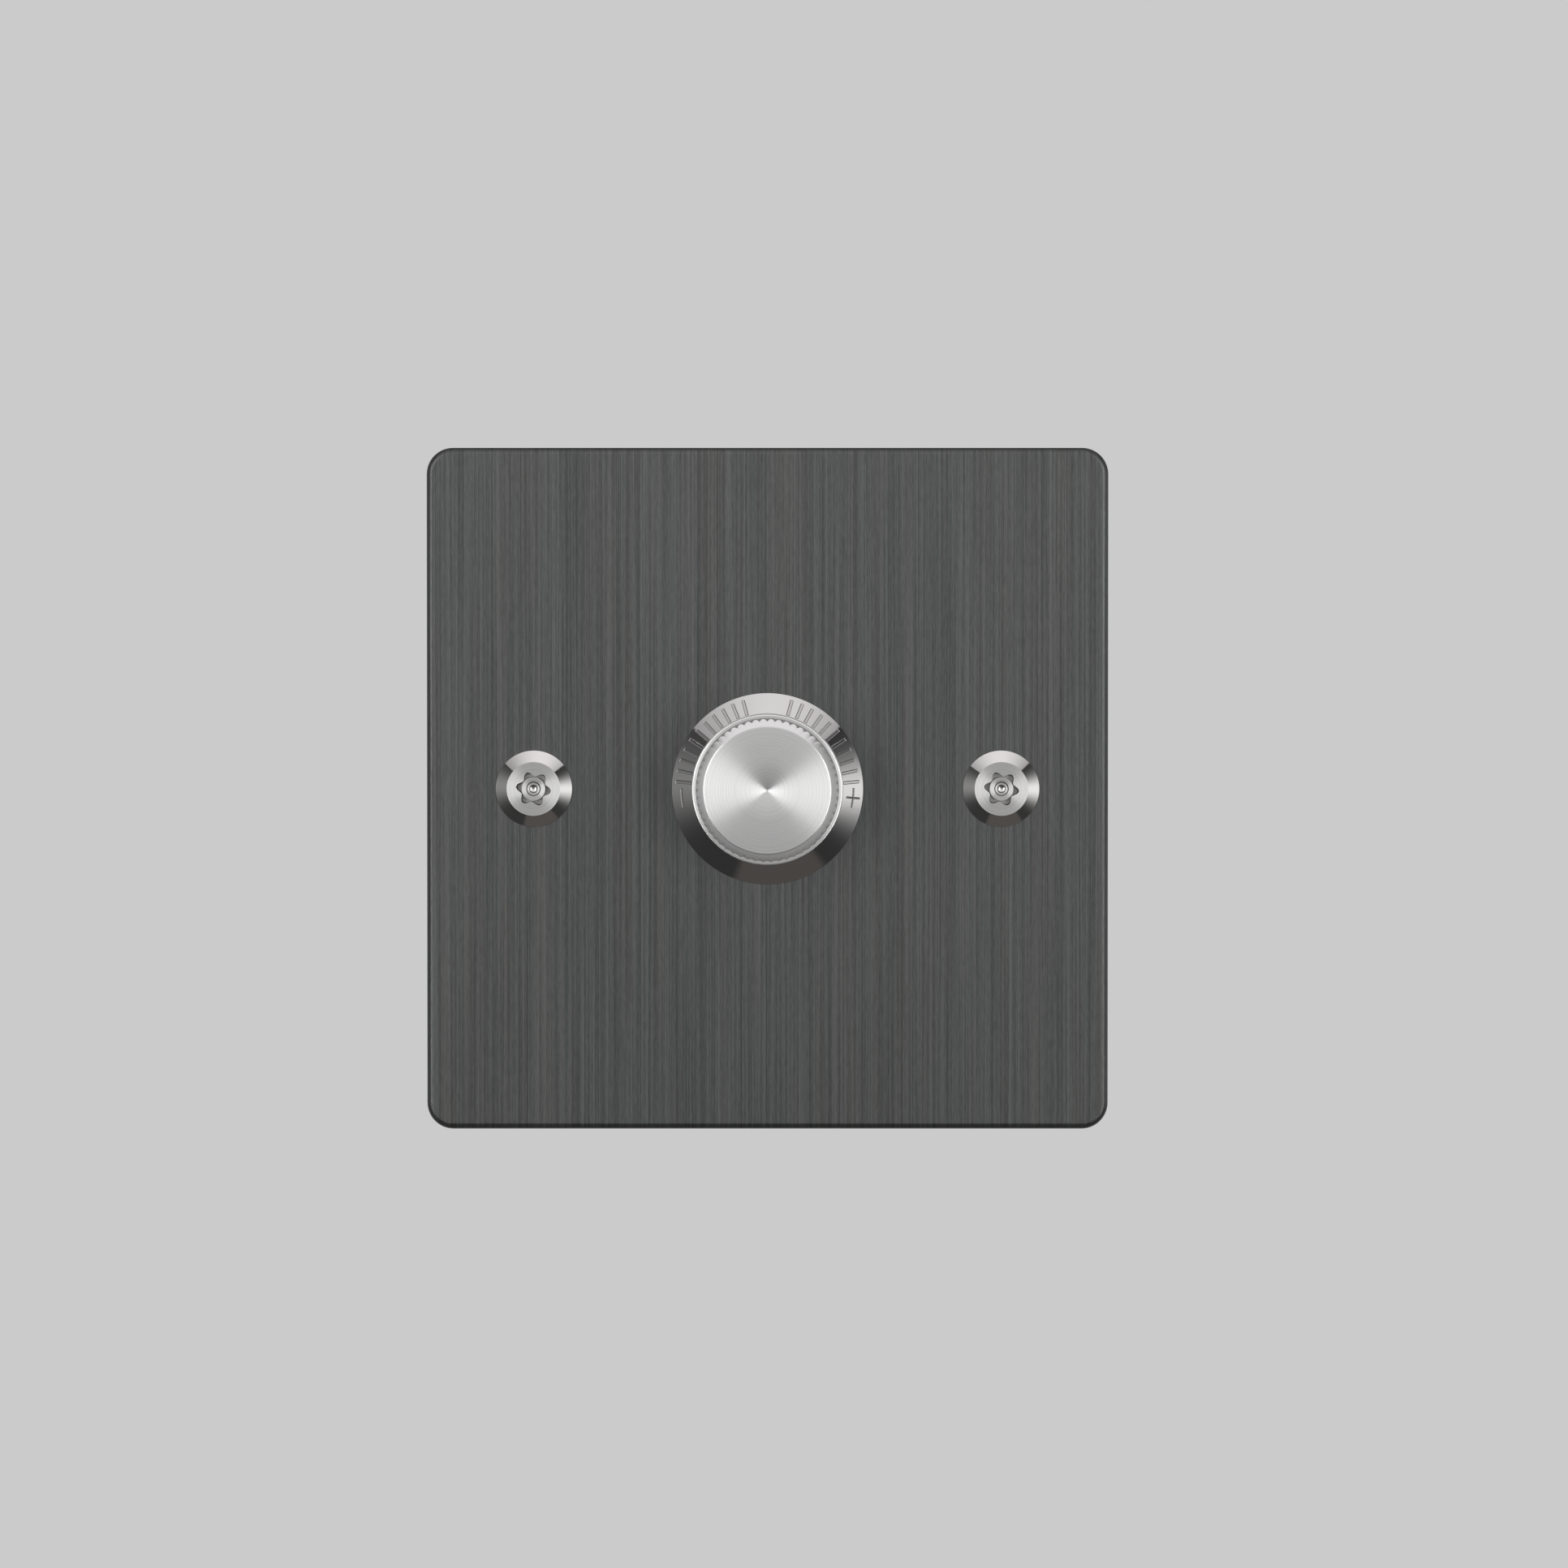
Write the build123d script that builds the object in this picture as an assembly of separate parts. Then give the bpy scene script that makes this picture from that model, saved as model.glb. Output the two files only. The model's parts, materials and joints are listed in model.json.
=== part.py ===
from build123d import *
import os
from math import cos, radians, sin, sqrt

# Rotary push dimmer switch for one wall box. Units are millimetres. The pieces are drawn as seen by someone
# who faces the wall: x to the right, y up, z out of the wall, with the wall at z = 0. Each piece is turned
# upright when it is written, so that +Z is up and the front faces -Y.

# Clearances
run_gap = 0.05  # a shaft or guide in its bearing
seat_gap = 0.02  # a piece that is pressed, glued or soldered in
slide_gap = 0.3  # pieces that pass each other
stop_gap = 0.3  # left between two pieces at the end of a travel

# Face plate
plate_side = 88.0
plate_thickness = 3.0
plate_corner_radius = 3.4
plate_edge_radius = 1.2
relief_depth = 0.5
relief_rim = 6.0
relief_corner_radius = 2.0

# Fixing screws
fixing_spacing = 60.3
fixing_thread_radius = 1.75
fixing_neck_radius = 1.5
fixing_hole_gap = 0.2
fixing_length = 30.0
fixing_point_bevel = 0.6
head_radius = 4.92
head_rim_height = 0.2
head_top_radius = 3.46
head_height = 1.45
lobe_tip_radius = 2.25
lobe_radius = 0.45
lobe_root_radius = 1.62
lobe_count = 6
lobe_turn = -8.0
recess_depth = 1.0
recess_pin_radius = 1.52
recess_pin_drop = 0.12
pin_dimple_radius = 0.9
pin_dimple_depth = 0.3

# Dial ring
dial_radius = 12.33
dial_rim_height = 0.2
dial_height = 2.3
dial_top_radius = 9.75
dial_bore_radius = 9.35
dial_web = 0.9
spigot_wall = 0.85
spigot_key_width = 2.0
spigot_key_reach = 0.8
tick_count = 11
tick_first_angle = 15.5
tick_pitch = 7.0
tick_inner_radius = 9.85
tick_outer_radius = 11.9
tick_width = 0.36
tick_depth = 0.12

# Knob
push_travel = 1.5
knob_body_radius = 9.65
knob_body_height = 2.9
knob_edge_radius = 0.15
grip_radius = 9.1
grip_height = 5.0
flute_count = 56
flute_depth = 0.33
knob_face_radius = 8.05
knob_chamfer_drop = 0.6  # from the face to the crests of the ridges
knob_front_wall = 1.4
insert_radius = 4.6
insert_slot = 0.8
insert_end_room = 0.4

# Shaft, bush, washer and nut
shaft_radius = 3.0
shaft_flat = 2.2  # from the axis to either flat
shaft_bevel = 0.4
bush_radius = 5.0
bush_front_room = 1.1  # thread left in front of the nut
bush_bevel = 0.4
flange_radius = 8.0
flange_thickness = 1.0
nut_across_flats = 12.0
nut_height = 2.0
washer_radius = 6.7
washer_thickness = 0.5
washer_tooth_count = 12
washer_tooth_width = 0.9
washer_tooth_depth = 0.8
clip_radius = 4.6
clip_thickness = 0.5
groove_radius = 2.4

# Heat-sink plate and case
module_width = 45.0
module_height = 46.0
module_corner_radius = 2.5
sink_thickness = 1.5
case_depth = 23.5
case_wall = 1.5
case_edge_radius = 1.0
terminal_bay_height = 12.0
boss_inset = 4.0  # from the case's inside to a boss's axis, across
boss_drop = 3.6  # the same, up and down
boss_radius = 2.3
boss_step = 0.8
case_screw_radius = 1.25
case_screw_head_radius = 2.3
case_screw_length = 9.0
screw_slot_width = 0.6
screw_slot_depth = 0.6

# Potentiometer
can_radius = 8.6
can_wall = 0.5
can_depth = 7.3
rotor_wall = 1.2
rotor_disc = 1.5
rotor_hub_radius = 4.3
wafer_thickness = 1.2
wiper_sheet = 0.25
wiper_arm_width = 1.2
wiper_arm_radius = 6.2
wiper_foot = 1.0
pin_pitch = 2.54
pin_radius = 0.3
wafer_pin_drop = 7.2
pin_stand = 0.6  # solder end past the board

# Push switch behind the potentiometer
switch_side = 11.6
switch_wall = 1.0
switch_depth = 7.2
base_thickness = 1.0
plunger_flange_radius = 4.4
plunger_flange = 1.2
plunger_stem_radius = 1.6
stem_past_bridge = 1.3
bridge_drop = 1.3  # from the plunger's flange to the bridge
bridge_length = 8.6
bridge_width = 4.4
bridge_thickness = 0.4
contact_spacing = 6.8
contact_radius = 0.7
strap_width = 1.0
strap_thickness = 0.5
post_spacing = 14.6
spring_mean_radius = 2.15
spring_wire_radius = 0.18
spring_turns = 4

# Main board and what it carries
board_thickness = 1.6
board_edge_gap = 0.3
board_can_room = 1.7  # from the potentiometer's back to the board
transistor_width = 10.0
transistor_body_height = 9.0
transistor_body_low = -4.0
transistor_body_depth = 4.4
tab_height = 6.5
tab_thickness = 1.3
tab_hole_up = 3.3
tab_hole_radius = 1.8
pad_thickness = 0.3
leg_reach = 3.5
leg_width = 0.7
leg_depth = 2.4  # from the tab's face to the legs' axis
transistor_screw_radius = 1.5
transistor_screw_head_radius = 2.7
transistor_screw_head_height = 1.8
transistor_screw_end_room = 0.2
choke_y = 14.0
core_inner_radius = 3.5
core_outer_radius = 6.0
core_height = 5.0
winding_build = 0.6
winding_angle = 130.0
film_width = 11.0
film_breadth = 5.0
film_height = 9.0
film_pin_spacing = 7.5
film_edge_radius = 0.4
can_capacitor_radius = 4.0
can_capacitor_height = 9.5
can_capacitor_pin_spacing = 3.5
can_capacitor_bead_depth = 0.3
fuse_y = 2.0
fuse_radius = 1.7
fuse_length = 9.0
fuse_lead_reach = 1.5
fuse_lead_bend = 0.8
chip_y = -1.0
chip_length = 5.0
chip_width = 3.9
chip_height = 1.5
chip_stand = 0.15
chip_leg_count = 4
chip_leg_pitch = 1.27
chip_leg_width = 0.42
chip_leg_reach = 1.05
chip_leg_thickness = 0.25
lead_radius = 0.35
lead_hole_gap = 0.1

# Terminals
terminal_pitch = 12.0
terminal_base = 1.5
terminal_barrier = 1.8
terminal_back_wall = 1.2
terminal_side = 7.6
terminal_depth = 7.0
terminal_low_room = 2.4  # from the bay's lower end to the brass
wire_radius = 1.7
wire_depth = 6.4
wire_drop = 2.4  # from the seat to the wire's axis
clamp_screw_radius = 1.5
clamp_screw_stand = 1.4
clamp_screw_back_off = 0.3
tail_radius = 0.6
earth_y = 31.0
earth_side = 7.0
earth_depth = 7.0
earth_wire_depth = 5.8
earth_wire_drop = 2.8
earth_spigot_radius = 1.5
earth_spigot_length = 1.5

# Levels along z, from the front to the back
plate_front = plate_thickness
plate_seat = relief_depth
dial_top = plate_front + dial_height
web_top = plate_seat + dial_web
washer_top = web_top + washer_thickness
nut_top = washer_top + nut_height
bush_front = nut_top + bush_front_room
knob_shoulder = dial_top + push_travel + stop_gap
knob_land = knob_shoulder + knob_body_height
knob_face = knob_land + grip_height
neck_bottom = web_top + push_travel + stop_gap
cavity_top = bush_front + push_travel + stop_gap
insert_front = knob_face - knob_front_wall
shaft_front = insert_front - insert_end_room
sink_back = plate_seat - sink_thickness
flange_back = sink_back - flange_thickness
clip_front = flange_back - run_gap
clip_back = clip_front - clip_thickness
can_inside = flange_back - can_wall
can_back = flange_back - can_depth
wafer_front = can_back + wafer_thickness
rotor_front = can_inside - run_gap
disc_front = clip_back - push_travel - stop_gap
disc_back = disc_front - rotor_disc
rear_flat_top = clip_back - seat_gap
hub_back = wafer_front + run_gap
switch_back = can_back - switch_depth
base_back = switch_back - base_thickness
switch_inside = can_back - switch_wall
shaft_back = can_back - switch_wall / 2
plunger_front = shaft_back - run_gap
plunger_seat = switch_inside - run_gap
plunger_flange_back = plunger_seat - plunger_flange
bridge_front = plunger_flange_back - bridge_drop
bridge_back = bridge_front - bridge_thickness
contact_front = bridge_back - push_travel - run_gap
stem_back = bridge_back - stem_past_bridge
board_front = can_back - board_can_room
board_back = board_front - board_thickness
case_back = sink_back - case_depth
case_floor = case_back + case_wall
bay_seat = board_back - case_wall
tab_front = sink_back - pad_thickness
terminal_seat = bay_seat - terminal_base
wire_axis = terminal_seat - wire_drop
solder_end = board_front + pin_stand

# Sizes across
head_seat = plate_front
screw_x = fixing_spacing / 2
fixing_hole_radius = fixing_thread_radius + fixing_hole_gap
spigot_radius = dial_bore_radius + spigot_wall
neck_radius = dial_bore_radius - slide_gap
nut_corner_radius = nut_across_flats / sqrt(3)
cavity_radius = max(nut_corner_radius, washer_radius) + slide_gap
can_inner_radius = can_radius - can_wall
rotor_radius = can_inner_radius - slide_gap
case_low = -module_height / 2
case_inner_width = module_width - 2 * case_wall
case_inner_height = module_height - 2 * case_wall
case_inner_radius = module_corner_radius - case_wall
bay_top = case_low + terminal_bay_height
boss_x = case_inner_width / 2 - boss_inset
boss_y = case_inner_height / 2 - boss_drop
boss_places = [(x, y) for y in (-boss_y, boss_y) for x in (-boss_x, boss_x)]
terminal_xs = [-terminal_pitch, 0, terminal_pitch]
terminal_low = case_low + terminal_low_room
terminal_y = terminal_low + terminal_side / 2
boss_low = boss_y - boss_radius - boss_step - slide_gap  # room under the bosses at the top
transistor_x = (can_radius + case_inner_width / 2) / 2  # midway from the potentiometer to the case
choke_reach = core_outer_radius + winding_build
film_x = -(choke_reach + case_inner_width / 2) / 2
film_y = boss_low - film_breadth / 2
can_capacitor_x = -film_x
can_capacitor_y = boss_low - can_capacitor_radius
chip_x = (switch_side + case_inner_width) / 4  # midway from the switch to the case
fuse_x = -chip_x
leg_y = transistor_body_low - leg_reach
tab_hole_y = transistor_body_low + transistor_body_height + tab_hole_up
plunger_hole_radius = shaft_radius + slide_gap
wafer_pin_places = [(n * pin_pitch, -wafer_pin_drop) for n in (-1, 0, 1)]
core_middle_radius = (core_inner_radius + core_outer_radius) / 2
fuse_lead_y = fuse_length / 2 + fuse_lead_reach

FLOOR = (Align.CENTER, Align.CENTER, Align.MIN)


def disc(radius, bottom, top, x=0, y=0):
    """Round bar along z."""
    return Pos(x, y, bottom) * Cylinder(radius, top - bottom, align=FLOOR)


def block(width, height, bottom, top, x=0, y=0):
    """Square bar along z."""
    return Pos(x, y, bottom) * Box(width, height, top - bottom, align=FLOOR)


def rounded_block(width, height, radius, bottom, top):
    """Bar along z with rounded upright corners, about the z axis."""
    return extrude(Pos(0, 0, bottom) * RectangleRounded(width, height, radius), top - bottom)


def turned(*points):
    """Solid of revolution about z, from the (radius, z) corners of its half section."""
    outline = Polyline(*[(radius, 0, z) for radius, z in points], close=True)
    return revolve(make_face(outline), Axis.Z)


def flatted_bar(radius, flat, bottom, top):
    """Round bar along z with one flat, at the distance flat on its +x side."""
    return disc(radius, bottom, top) - block(radius, 2 * radius, bottom, top, x=flat + radius / 2)


def polar(radius, degrees):
    """Point at this radius, with the angle counted from +x towards +y."""
    return radius * cos(radians(degrees)), radius * sin(radians(degrees))


def placed(solid, places):
    """Copies of one solid at several (x, y) places."""
    return Compound(children=[Pos(x, y, 0) * solid for x, y in places])


# Front


def face_plate():
    body = rounded_block(plate_side, plate_side, plate_corner_radius, 0, plate_front)
    body = fillet(body.faces().sort_by(Axis.Z)[-1].edges(), plate_edge_radius)
    relief_side = plate_side - 2 * relief_rim
    body -= rounded_block(relief_side, relief_side, relief_corner_radius, 0, plate_seat)
    body -= disc(spigot_radius + seat_gap, 0, plate_front)
    body -= spigot_key(seat_gap)
    for x in (-screw_x, screw_x):
        body -= disc(fixing_hole_radius, 0, plate_front, x=x)
    body -= disc(earth_spigot_radius + seat_gap, 0, plate_seat + earth_spigot_length, y=earth_y)
    return body


def lobed_recess():
    """Six-lobe socket with a pin left standing in its middle."""
    top = head_seat + head_height
    socket = disc(lobe_root_radius, top - recess_depth, top)
    for n in range(lobe_count):
        x, y = polar(lobe_tip_radius - lobe_radius, lobe_turn + n * 360 / lobe_count)
        socket += disc(lobe_radius, top - recess_depth, top, x=x, y=y)
    pin_top = top - recess_pin_drop
    pin = turned(
        (0, top - recess_depth),
        (recess_pin_radius, top - recess_depth),
        (recess_pin_radius, pin_top),
        (pin_dimple_radius, pin_top),
        (0, pin_top - pin_dimple_depth),
    )
    return socket - pin


def fixing_screws():
    tip = head_seat - fixing_length
    thread_top = plate_seat - slide_gap
    screw = turned(
        (0, tip),
        (fixing_thread_radius - fixing_point_bevel, tip),
        (fixing_thread_radius, tip + fixing_point_bevel),
        (fixing_thread_radius, thread_top),
        (fixing_neck_radius, thread_top),
        (fixing_neck_radius, head_seat),
        (head_radius, head_seat),
        (head_radius, head_seat + head_rim_height),
        (head_top_radius, head_seat + head_height),
        (0, head_seat + head_height),
    )
    return placed(screw - lobed_recess(), [(-screw_x, 0), (screw_x, 0)])


def spigot_key(gap):
    """Key under the dial ring's spigot that stops it turning in the plate."""
    reach = spigot_radius + spigot_key_reach + gap
    return block(spigot_key_width + 2 * gap, reach, plate_seat, plate_front, y=-reach / 2)


def tick_cutter():
    """Cutter for one engraved line down the dial's cone, at the dial's right."""
    fall = (dial_height - dial_rim_height) / (dial_radius - dial_top_radius)
    ends = []
    for radius in (tick_inner_radius, tick_outer_radius):
        ends.append((radius, dial_top - (radius - dial_top_radius) * fall))
    (near, high), (far, low) = ends
    corners = [
        (near, high - tick_depth),
        (far, low - tick_depth),
        (far, low + dial_height),
        (near, high + dial_height),
    ]
    outline = Polyline(*[(radius, 0, z) for radius, z in corners], close=True)
    return extrude(make_face(outline), tick_width / 2, both=True)


def dial_ring():
    ring = turned(
        (bush_radius + seat_gap, plate_seat),
        (spigot_radius, plate_seat),
        (spigot_radius, plate_front),
        (dial_radius, plate_front),
        (dial_radius, plate_front + dial_rim_height),
        (dial_top_radius, dial_top),
        (dial_bore_radius, dial_top),
        (dial_bore_radius, web_top),
        (bush_radius + seat_gap, web_top),
    )
    ring += spigot_key(0) - disc(spigot_radius - spigot_wall / 2, plate_seat, plate_front)
    cutter = tick_cutter()
    for n in range(tick_count):
        angle = tick_first_angle + n * tick_pitch
        for turn in (90 - angle, 90 + angle):
            ring -= Rot(0, 0, turn) * cutter
    return ring


def fluted_grip():
    """Front of the knob: convex ridges that meet in sharp valleys, under a cone that bares the face."""
    pitch = 360 / flute_count
    arcs = []
    for n in range(flute_count):
        valley = polar(grip_radius - flute_depth, n * pitch)
        crest = polar(grip_radius, (n + 0.5) * pitch)
        next_valley = polar(grip_radius - flute_depth, (n + 1) * pitch)
        arcs.append(ThreePointArc(valley, crest, next_valley))
    grip = extrude(Pos(0, 0, knob_land) * make_face(arcs), grip_height)
    cone_low = grip_radius + slide_gap
    fall = knob_chamfer_drop / (grip_radius - knob_face_radius)
    cone = turned(
        (0, knob_land),
        (cone_low, knob_land),
        (cone_low, knob_face - (cone_low - knob_face_radius) * fall),
        (knob_face_radius, knob_face),
        (0, knob_face),
    )
    return grip & cone


def control_knob():
    knob = turned(
        (0, neck_bottom),
        (neck_radius, neck_bottom),
        (neck_radius, knob_shoulder),
        (knob_body_radius - knob_edge_radius, knob_shoulder),
        (knob_body_radius, knob_shoulder + knob_edge_radius),
        (knob_body_radius, knob_land - knob_edge_radius),
        (knob_body_radius - knob_edge_radius, knob_land),
        (0, knob_land),
    )
    knob += fluted_grip()
    knob -= disc(cavity_radius, neck_bottom, cavity_top)
    return knob - disc(insert_radius + seat_gap, cavity_top, insert_front + seat_gap)


def knob_insert():
    sleeve = disc(insert_radius, cavity_top, insert_front)
    sleeve -= flatted_bar(shaft_radius + seat_gap, shaft_flat + seat_gap, cavity_top, insert_front)
    slot_top = (cavity_top + shaft_front) / 2
    return sleeve - block(insert_radius, insert_slot, cavity_top, slot_top, x=-insert_radius / 2)


# Bush, shaft and potentiometer


def lock_washer():
    """Internal-tooth washer."""
    ring = disc(washer_radius, web_top, washer_top) - disc(bush_radius + seat_gap, web_top, washer_top)
    reach = bush_radius + washer_tooth_depth
    for n in range(washer_tooth_count):
        notch = block(reach, washer_tooth_width, web_top, washer_top, x=reach / 2)
        ring -= Rot(0, 0, n * 360 / washer_tooth_count) * notch
    return ring


def lock_nut():
    hexagon = RegularPolygon(nut_corner_radius, 6)
    nut = extrude(Pos(0, 0, washer_top) * hexagon, nut_height)
    return nut - disc(bush_radius + seat_gap, washer_top, nut_top)


def threaded_bush():
    return turned(
        (shaft_radius + run_gap, flange_back),
        (flange_radius, flange_back),
        (flange_radius, sink_back),
        (bush_radius, sink_back),
        (bush_radius, bush_front - bush_bevel),
        (bush_radius - bush_bevel, bush_front),
        (shaft_radius + run_gap, bush_front),
    )


def control_shaft():
    shaft = turned(
        (0, shaft_back),
        (shaft_radius - shaft_bevel, shaft_back),
        (shaft_radius, shaft_back + shaft_bevel),
        (shaft_radius, clip_back - seat_gap),
        (groove_radius, clip_back - seat_gap),
        (groove_radius, clip_front + seat_gap),
        (shaft_radius, clip_front + seat_gap),
        (shaft_radius, shaft_front - shaft_bevel),
        (shaft_radius - shaft_bevel, shaft_front),
        (0, shaft_front),
    )
    for bottom, top in ((shaft_back, rear_flat_top), (cavity_top, shaft_front)):
        shaft -= block(shaft_radius, 2 * shaft_radius, bottom, top, x=shaft_flat + shaft_radius / 2)
    return shaft


def shaft_clip():
    """Open ring that snaps into the shaft's groove."""
    ring = disc(clip_radius, clip_back, clip_front) - disc(groove_radius + seat_gap, clip_back, clip_front)
    return ring - block(clip_radius, 2 * groove_radius, clip_back, clip_front, x=-clip_radius / 2)


def pot_cover():
    return turned(
        (clip_radius + slide_gap, flange_back),
        (can_radius, flange_back),
        (can_radius, can_back),
        (can_inner_radius, can_back),
        (can_inner_radius, can_inside),
        (clip_radius + slide_gap, can_inside),
    )


def wiper_rotor():
    """Cup that the shaft's flat turns, with room in front for the clip to move in."""
    cup_radius = rotor_radius - rotor_wall
    rotor = turned(
        (0, hub_back),
        (rotor_hub_radius, hub_back),
        (rotor_hub_radius, disc_back),
        (rotor_radius, disc_back),
        (rotor_radius, rotor_front),
        (cup_radius, rotor_front),
        (cup_radius, disc_front),
        (0, disc_front),
    )
    return rotor - flatted_bar(shaft_radius + run_gap, shaft_flat + run_gap, hub_back, disc_front)


def wiper_spring():
    """Sheet ring under the rotor, with two arms bent down to the track."""
    inner = rotor_hub_radius + seat_gap
    outer = wiper_arm_radius + wiper_arm_width / 2
    ring = disc(outer, disc_back - wiper_sheet, disc_back) - disc(inner, disc_back - wiper_sheet, disc_back)
    track = wafer_front + run_gap
    fall = disc_back - wiper_sheet - track
    arm = [
        (0, disc_back - wiper_sheet),
        (fall, track),
        (fall + wiper_foot, track),
        (fall + wiper_foot, track + wiper_sheet),
        (fall, track + wiper_sheet),
        (0, disc_back),
    ]
    outline = make_face(Polyline(*[(0, along, z) for along, z in arm], close=True))
    arm = Pos(wiper_arm_radius, 0, 0) * extrude(outline, wiper_arm_width / 2, both=True)
    arm -= disc(inner, track, disc_back)
    return ring + arm + Rot(0, 0, 180) * arm


def track_wafer():
    wafer = disc(can_inner_radius - seat_gap, can_back, wafer_front)
    wafer -= disc(plunger_hole_radius, can_back, wafer_front)
    for x, y in wafer_pin_places:
        wafer -= disc(pin_radius + seat_gap, can_back, wafer_front, x, y)
    return wafer


def wafer_pins():
    return placed(disc(pin_radius, board_back - pin_stand, wafer_front), wafer_pin_places)


# Push switch


def switch_case():
    case = block(switch_side, switch_side, switch_back, can_back)
    hollow_side = switch_side - 2 * switch_wall
    case -= block(hollow_side, hollow_side, switch_back, switch_inside)
    return case - disc(plunger_hole_radius, switch_inside, can_back)


def switch_base():
    base = block(switch_side, switch_side, base_back, switch_back)
    for x in (-contact_spacing / 2, contact_spacing / 2):
        base -= disc(contact_radius + seat_gap, base_back, switch_back, x=x)
    return base


def switch_plunger():
    return turned(
        (0, stem_back),
        (plunger_stem_radius, stem_back),
        (plunger_stem_radius, plunger_flange_back),
        (plunger_flange_radius, plunger_flange_back),
        (plunger_flange_radius, plunger_seat),
        (plunger_hole_radius - run_gap, plunger_seat),
        (plunger_hole_radius - run_gap, plunger_front),
        (0, plunger_front),
    )


def contact_bridge():
    bridge = block(bridge_length, bridge_width, bridge_back, bridge_front)
    return bridge - disc(plunger_stem_radius + seat_gap, bridge_back, bridge_front)


def return_spring():
    """Coil of fine six-sided wire between the bridge and the switch's base."""
    low = switch_back + spring_wire_radius
    height = bridge_back - spring_wire_radius - low
    path = Pos(0, 0, low) * Helix(height / spring_turns, height, spring_mean_radius)
    section = Plane(path @ 0, z_dir=path % 0) * RegularPolygon(spring_wire_radius, 6)
    return sweep(section, path=path, is_frenet=True)


def fixed_contacts():
    """Two contact pins, each with a strap behind the base and a post up to the board."""
    contacts = []
    for side in (-1, 1):
        pin_x = side * contact_spacing / 2
        post_x = side * post_spacing / 2
        strap_back = base_back - strap_thickness
        strap_length = (post_spacing - contact_spacing + strap_width) / 2 + contact_radius
        strap_x = post_x + side * (strap_width - strap_length) / 2
        contact = disc(contact_radius, base_back, contact_front, x=pin_x)
        contact += block(strap_length, strap_width, strap_back, base_back, x=strap_x)
        contact += block(strap_width, strap_width, strap_back, solder_end, x=post_x)
        contacts.append(contact)
    return Compound(children=contacts)


# Heat-sink plate and power stage


def countersunk_screw():
    """Case screw whose head lies flush in the heat-sink plate."""
    neck = plate_seat - (case_screw_head_radius - case_screw_radius)
    tip = plate_seat - case_screw_length
    screw = turned(
        (0, tip),
        (case_screw_radius, tip),
        (case_screw_radius, neck),
        (case_screw_head_radius, plate_seat),
        (0, plate_seat),
    )
    slot_low = plate_seat - screw_slot_depth
    return screw - block(2 * case_screw_head_radius, screw_slot_width, slot_low, plate_seat)


def heat_sink_plate():
    plate = rounded_block(module_width, module_height, module_corner_radius, sink_back, plate_seat)
    plate -= disc(bush_radius + seat_gap, sink_back, plate_seat)
    neck = plate_seat - (case_screw_head_radius - case_screw_radius)
    countersink = turned(
        (0, sink_back),
        (case_screw_radius + seat_gap, sink_back),
        (case_screw_radius + seat_gap, neck),
        (case_screw_head_radius + seat_gap, plate_seat),
        (0, plate_seat),
    )
    for x, y in boss_places:
        plate -= Pos(x, y, 0) * countersink
    for x in (-transistor_x, transistor_x):
        plate -= disc(transistor_screw_radius + seat_gap, sink_back, plate_seat, x, tab_hole_y)
    return plate


def case_screws():
    return placed(countersunk_screw(), boss_places)


def thermal_pads():
    height = transistor_body_height + tab_height
    middle = transistor_body_low + height / 2
    pad = block(transistor_width, height, tab_front, sink_back, y=middle)
    pad -= disc(tab_hole_radius, tab_front, sink_back, y=tab_hole_y)
    return placed(pad, [(-transistor_x, 0), (transistor_x, 0)])


def power_transistors():
    """Flat packages with a drilled tab, and three legs bent back to the board."""
    body_top = transistor_body_low + transistor_body_height
    body_back = tab_front - transistor_body_depth
    package = block(
        transistor_width,
        transistor_body_height,
        body_back,
        tab_front,
        y=transistor_body_low + transistor_body_height / 2,
    )
    package = chamfer(package.faces().sort_by(Axis.Z)[0].edges(), leg_width / 2)
    tab_back = tab_front - tab_thickness
    package += block(transistor_width, tab_height, tab_back, tab_front, y=body_top + tab_height / 2)
    package -= disc(tab_hole_radius, tab_back, tab_front, y=tab_hole_y)
    axis = tab_front - leg_depth
    for n in (-1, 0, 1):
        x = n * pin_pitch
        reach = leg_reach + leg_width / 2
        y = transistor_body_low - reach / 2
        package += block(leg_width, reach, axis - leg_width / 2, axis + leg_width / 2, x, y)
        package += block(leg_width, leg_width, board_back - pin_stand, axis + leg_width / 2, x, leg_y)
    return placed(package, [(-transistor_x, 0), (transistor_x, 0)])


def transistor_screws():
    seat = tab_front - tab_thickness
    head_back = seat - transistor_screw_head_height
    screw = disc(transistor_screw_radius, seat, plate_seat - transistor_screw_end_room)
    screw += disc(transistor_screw_head_radius, head_back, seat)
    screw -= block(
        2 * transistor_screw_head_radius, screw_slot_width, head_back, head_back + screw_slot_depth
    )
    return placed(screw, [(-transistor_x, tab_hole_y), (transistor_x, tab_hole_y)])


# Main board and its parts


def lead_places():
    """Where the round leads of the parts on the board's back pass through it."""
    places = []
    for side in (-1, 1):
        places.append((film_x + side * film_pin_spacing / 2, film_y))
        places.append((can_capacitor_x + side * can_capacitor_pin_spacing / 2, can_capacitor_y))
        places.append((fuse_x, fuse_y + side * fuse_lead_y))
        places.append((side * core_middle_radius, choke_y))
    return places


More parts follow.
